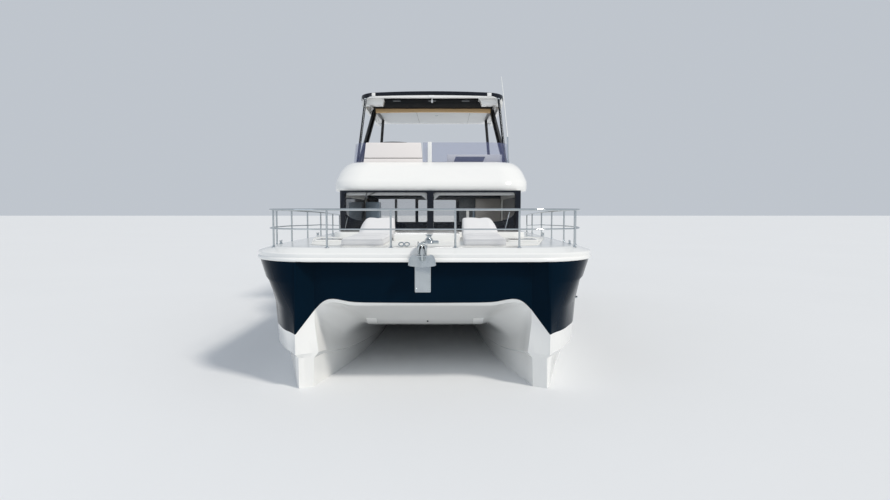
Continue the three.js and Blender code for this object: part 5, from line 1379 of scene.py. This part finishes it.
build("bow_roller", [
    (guard, steelPolished), (cheek, steelBrushed), (mirrored(cheek), steelBrushed),
    *((boxPart((-0.062, 0.062), y, z, 0.002), steelBrushed) for y, z in (
        ((-5.52, -5.16), (deckZ, 1.966)), ((-5.52, -5.512), (1.756, 1.966)), ((-5.52, -5.372), (1.756, 1.764)))),
    (lathePart([(0.012, -0.07), (0.012, 0.07)], bow["roller"], (1, 0, 0), 20), steelPolished),
    (lathePart(bow["groove"], bow["roller"], (1, 0, 0), 24), rubberBlack)],
    replaces=("anchor_roller",))
(x0, x1), y, (z0, z1) = bow["rivetX"], bow["rivetY"], bow["rivetZ"]
rivetRows = [[(x0, y, z0), (x0, y, z1)], [(x1, y, z0), (x1, y, z1)], [(x0, y, z0), (x1, y, z0)]]
repeated("guard_plate_rivets", rivetRows, "dome", bow["rivet"], (0.009, 0.005, 0.009), steelPolished)
# Half width, place, fold and thickness of the anchor's fluke, its upper and lower edge (x, z), then the side view
# of the shank and the paths of hoop and shackle
anchor = {"half": 0.187, "y": -5.545, "fold": -0.34, "thick": 0.011,
          "upper": [(0, 1.838), (0.05, 1.842), (0.085, 1.862), (0.118, 1.878), (0.148, 1.868), (0.172, 1.83),
                    (0.186, 1.768), (0.187, 1.735)],
          "lower": [(0, 1.70), (0.105, 1.716), (0.155, 1.722), (0.187, 1.735)],
          "shank": [(-5.60, 1.80), (-5.54, 1.78), (-5.536, 1.935), (-5.56, 1.985), (-5.10, 2.0), (-5.10, 2.036),
                    (-5.59, 2.036), (-5.622, 1.985)],
          "hoop": [(-0.045, -5.52, 1.86), (-0.05, -5.60, 1.95), (-0.03, -5.605, 2.03), (0.03, -5.605, 2.03),
                   (0.05, -5.60, 1.95), (0.045, -5.52, 1.86)],
          "shackle": [(-0.022, -5.13, 2.018), (-0.022, -5.065, 2.018), (0.022, -5.065, 2.018), (0.022, -5.13, 2.018)]}


def flukePart():
    # A plate folded along its middle, its ears back towards the hull
    rows = []
    for u in np.linspace(-1, 1, 33):
        x = u * anchor["half"]
        top, low = (np.interp(abs(x), *zip(*anchor[edge])) for edge in ("upper", "lower"))
        rows.append([(x, anchor["y"] + anchor["fold"] * abs(x) + 0.012 * (t - 0.5), low + (top - low) * t)
                     for t in np.linspace(0, 1, 9)])

    def behind(path):
        return [(x, y + anchor["thick"], z) for x, y, z in path]

    front = loftPart(rows, closedRing=False, caps=False)
    back = loftPart([behind(row) for row in rows], closedRing=False, caps=False)
    rim = [rows[0], [row[-1] for row in rows[1:]], rows[-1][::-1][1:], [row[0] for row in rows[::-1]][1:-1]]
    loop = [p for part in rim for p in part]
    edge = loftPart([loop, behind(loop)], caps=False)
    points, faces = [], []
    for part in (front, back, edge):
        start = len(points)
        points += part[0]
        faces += [[i + start for i in f] for f in part[1]]
    return points, faces


shank = prismPart(anchor["shank"], -0.009, 0.009, along="x", bevel=0.003)
build("plough_anchor", [
    (flukePart(), galvanised), (shank, galvanised),
    (tubePart(bend(anchor["shackle"], 0.02, 8), 0.007, 12), steelPolished),
    (tubePart([(-0.03, -5.125, 2.018), (0.03, -5.125, 2.018)], 0.006, 12), steelPolished),
    (boxPart((-0.095, 0.085), (-5.565, -5.556), (1.846, 1.862), 0.003), steelPolished),
    (tubePart(bend(anchor["hoop"], 0.03, 6), 0.011, 12), galvanised)],
    replaces=("anchor",))
windlass = {"place": (0.06, -4.40, 1.95),
            "base": [(0.09, 0.0003), (0.09, 0.03), (0.084, 0.04), (0.072, 0.046), (0.07, 0.068), (0.0, 0.07)],
            "drum": [(0.04, 0.07), (0.058, 0.074), (0.062, 0.082), (0.044, 0.092), (0.036, 0.105), (0.036, 0.118),
                     (0.044, 0.132), (0.06, 0.142), (0.06, 0.15), (0.05, 0.154), (0.0, 0.155)]}
move = Matrix.Translation(windlass["place"])
build("anchor_windlass", [(moved(part, move), material) for part, material in (
    (lathePart(windlass["base"], steps=40), steelPolished),
    (boxPart((0.02, 0.15), (-0.06, 0.06), (0.0003, 0.06), 0.018, 4), steelPolished),
    (lathePart(windlass["drum"], steps=36), steelPolished),
    (lathePart([(0.05, 0.045), (0.066, 0.052), (0.066, 0.062), (0.05, 0.068)], steps=36), steelBrushed))],
    replaces=("windlass",))


def cleatPart(place, along, length=0.24):
    # horn cleat: two feet and a bar with raised tips
    turn = Matrix.Translation(place) @ Matrix.Rotation(along, 4, "Z")
    half = length / 2
    bar = tubePart([(half * share, 0, z) for share, z in (
        (-1, 0.056), (-0.8, 0.05), (-0.4, 0.044), (0.4, 0.044), (0.8, 0.05), (1, 0.056))],
        [0.006, 0.01, 0.013, 0.013, 0.01, 0.006], 12)
    feet = [lathePart([(0.024, 0), (0.024, 0.006), (0.014, 0.016), (0.011, 0.04)], (x, 0, 0), steps=16)
            for x in (-0.04, 0.04)]
    return [(moved(part, turn), steelPolished) for part in [bar] + feet]


# cleats: x, y and the degrees each is turned along the gunwale
deckFittings = {"z": 1.9495, "cleats": [(2.24, -4.30, 8), (2.36, -1.07, 0)], "filler": (2.03, -1.13),
                "cap": [(0.04, 0), (0.04, 0.004), (0.034, 0.007), (0.0, 0.007)],
                "handles": (-0.315, -0.235), "handle": (0.035, 0.03, 0.024)}
parts = []
for side in (1, -1):
    for x, y, turn in deckFittings["cleats"]:
        parts += cleatPart((side * x, y, deckFittings["z"]), math.radians(90 - side * turn))
    x, y = deckFittings["filler"]
    parts.append((lathePart(deckFittings["cap"], (side * x, y, deckFittings["z"]), steps=24), steelPolished))
build("deck_cleats", parts)
ovals = []
for x in deckFittings["handles"]:
    wide, deep, high = deckFittings["handle"]
    ring = [(x + wide * math.cos(a), -5.09 + deep * math.sin(a), 1.989 + high * math.sin(a)) for a in around(24)]
    ovals.append((tubePart(ring, 0.009, 10, closed=True), steelPolished))
build("locker_handles", ovals)
print("bow ready")


def wheelParts(node, normal, rimRadius=0.19, tube=0.0135, gap=0.014):
    # The rim ends at the top and aft edges of the node's box; the hub runs back to the console
    high = Vector(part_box(node)[1])
    along = Vector(normal).normalized()
    across = Vector((1, 0, 0))
    up = along.cross(across)
    centre = Vector((high.x - rimRadius - gap, high.y - rimRadius * along.z - gap,
                     high.z - rimRadius * along.y - gap))
    ring = [centre + across * (rimRadius * math.cos(a)) + up * (rimRadius * math.sin(a)) for a in around(48)]
    parts = [(tubePart(ring, tube, 14, closed=True), rubberBlack)]
    for a in (90, 210, 330):
        out = across * math.cos(math.radians(a)) + up * math.sin(math.radians(a))
        parts.append((tubePart([centre - along * 0.02 + out * 0.02, centre - along * 0.014 + out * 0.09,
                                centre + out * (rimRadius - 0.004)], 0.01, 12), steelPolished))
    hub = [(0.034, -0.057), (0.037, -0.05), (0.037, -0.008), (0.03, 0.004), (0.0, 0.006)]
    parts.append((lathePart(hub, centre, along, 28), steelPolished))
    return parts


door = {"x": (-0.50, 0.67), "y": (3.098, 3.128), "z": (0.925, 2.83), "frame": 0.06,
        "handle": ((-0.476, -0.456), (3.128, 3.146), (1.72, 2.02))}
paneSize = shrunk(door["x"], door["z"], door["frame"])
doorPiece = meshObject("saloon_door_leaf", [(boxPart(door["x"], door["y"], door["z"], 0.004), glossBlack)])
combine(doorPiece, [cut(prismPart(roundedRect(*paneSize, 0.03), 3.0, 3.2, along="y"), glossBlack)])
declare(doorPiece, "door", ("saloon_door",))
doorPane = prismPart(roundedRect(*shrunk(*paneSize, house["play"]), 0.03), 3.109, 3.117, along="y")
build("saloon_door_glass", [(doorPane, glassClear), (boxPart(*door["handle"], 0.006, 3), steelPolished)],
      "door")
# Teak sole of the cockpit: boards along the boat on a bed of caulking
sole = {"x": (-1.24, 0.66), "y": (3.17, 4.26), "bedZ": 0.9235, "boardZ": 0.9245, "pitch": 0.05, "board": 0.045}
(x0, x1), (y0, y1) = sole["x"], sole["y"]
build("cockpit_caulking", [(boxPart(sole["x"], sole["y"], (soleZ, sole["bedZ"]), 0.001), rubberBlack)])
middle = (y0 + y1) / 2
repeated("cockpit_boards", [[(x0 + 0.025, middle, sole["boardZ"]), (x1 - 0.02, middle, sole["boardZ"])]], "bar",
         sole["pitch"], (sole["board"], y1 - y0 - 0.02, 0.004), teakOiled)
# Two displays in the aft face of the helm pod
display = {"x": (-1.27, -0.5), "place": (0, 0.2, 3.685), "tilt": 11.7}
displays = []
tilt = Matrix.Translation(display["place"]) @ Matrix.Rotation(math.radians(display["tilt"]), 4, "X")
for x in display["x"]:
    displays.append((moved(boxPart((x - 0.13, x + 0.13), (-0.004, 0.012), (-0.08, 0.08), 0.006, 3), tilt),
                     mouldedGrey))
    displays.append((moved(boxPart((x - 0.118, x + 0.118), (0.0115, 0.0135), (-0.068, 0.068), 0.001), tilt),
                     displayGlass))
build("pod_displays", displays)
build("flybridge_wheel_rim", wheelParts("fly_wheel", (0, 0.979, 0.203)), "flybridge_wheel",
      ("fly_wheel",))
build("saloon_wheel_rim", wheelParts("helm_wheel", (0, 0.872, 0.49)), "saloon_wheel", ("helm_wheel",))
print("helm, door and sole ready")

# Nodes that keep their form, in a finish
for name, material in {"cabin_aft": glossBlack, "aft_window": glassClear, "boarding_ladder": steelPolished,
                       "helm_console": mouldedGrey, "fly_table": teakOiled, "fly_stair": teakOiled}.items():
    keepNode(name, material)
for name, material in {"engine_hatch": nonSkid, "shaft": steelBrushed, "propeller": bronzeCast, "rudder": bronzeCast,
                       "engine": ironPainted}.items():
    for side, sideName in sideNames:
        keepNode(f"{name}_{sideName}", material)

low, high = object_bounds()
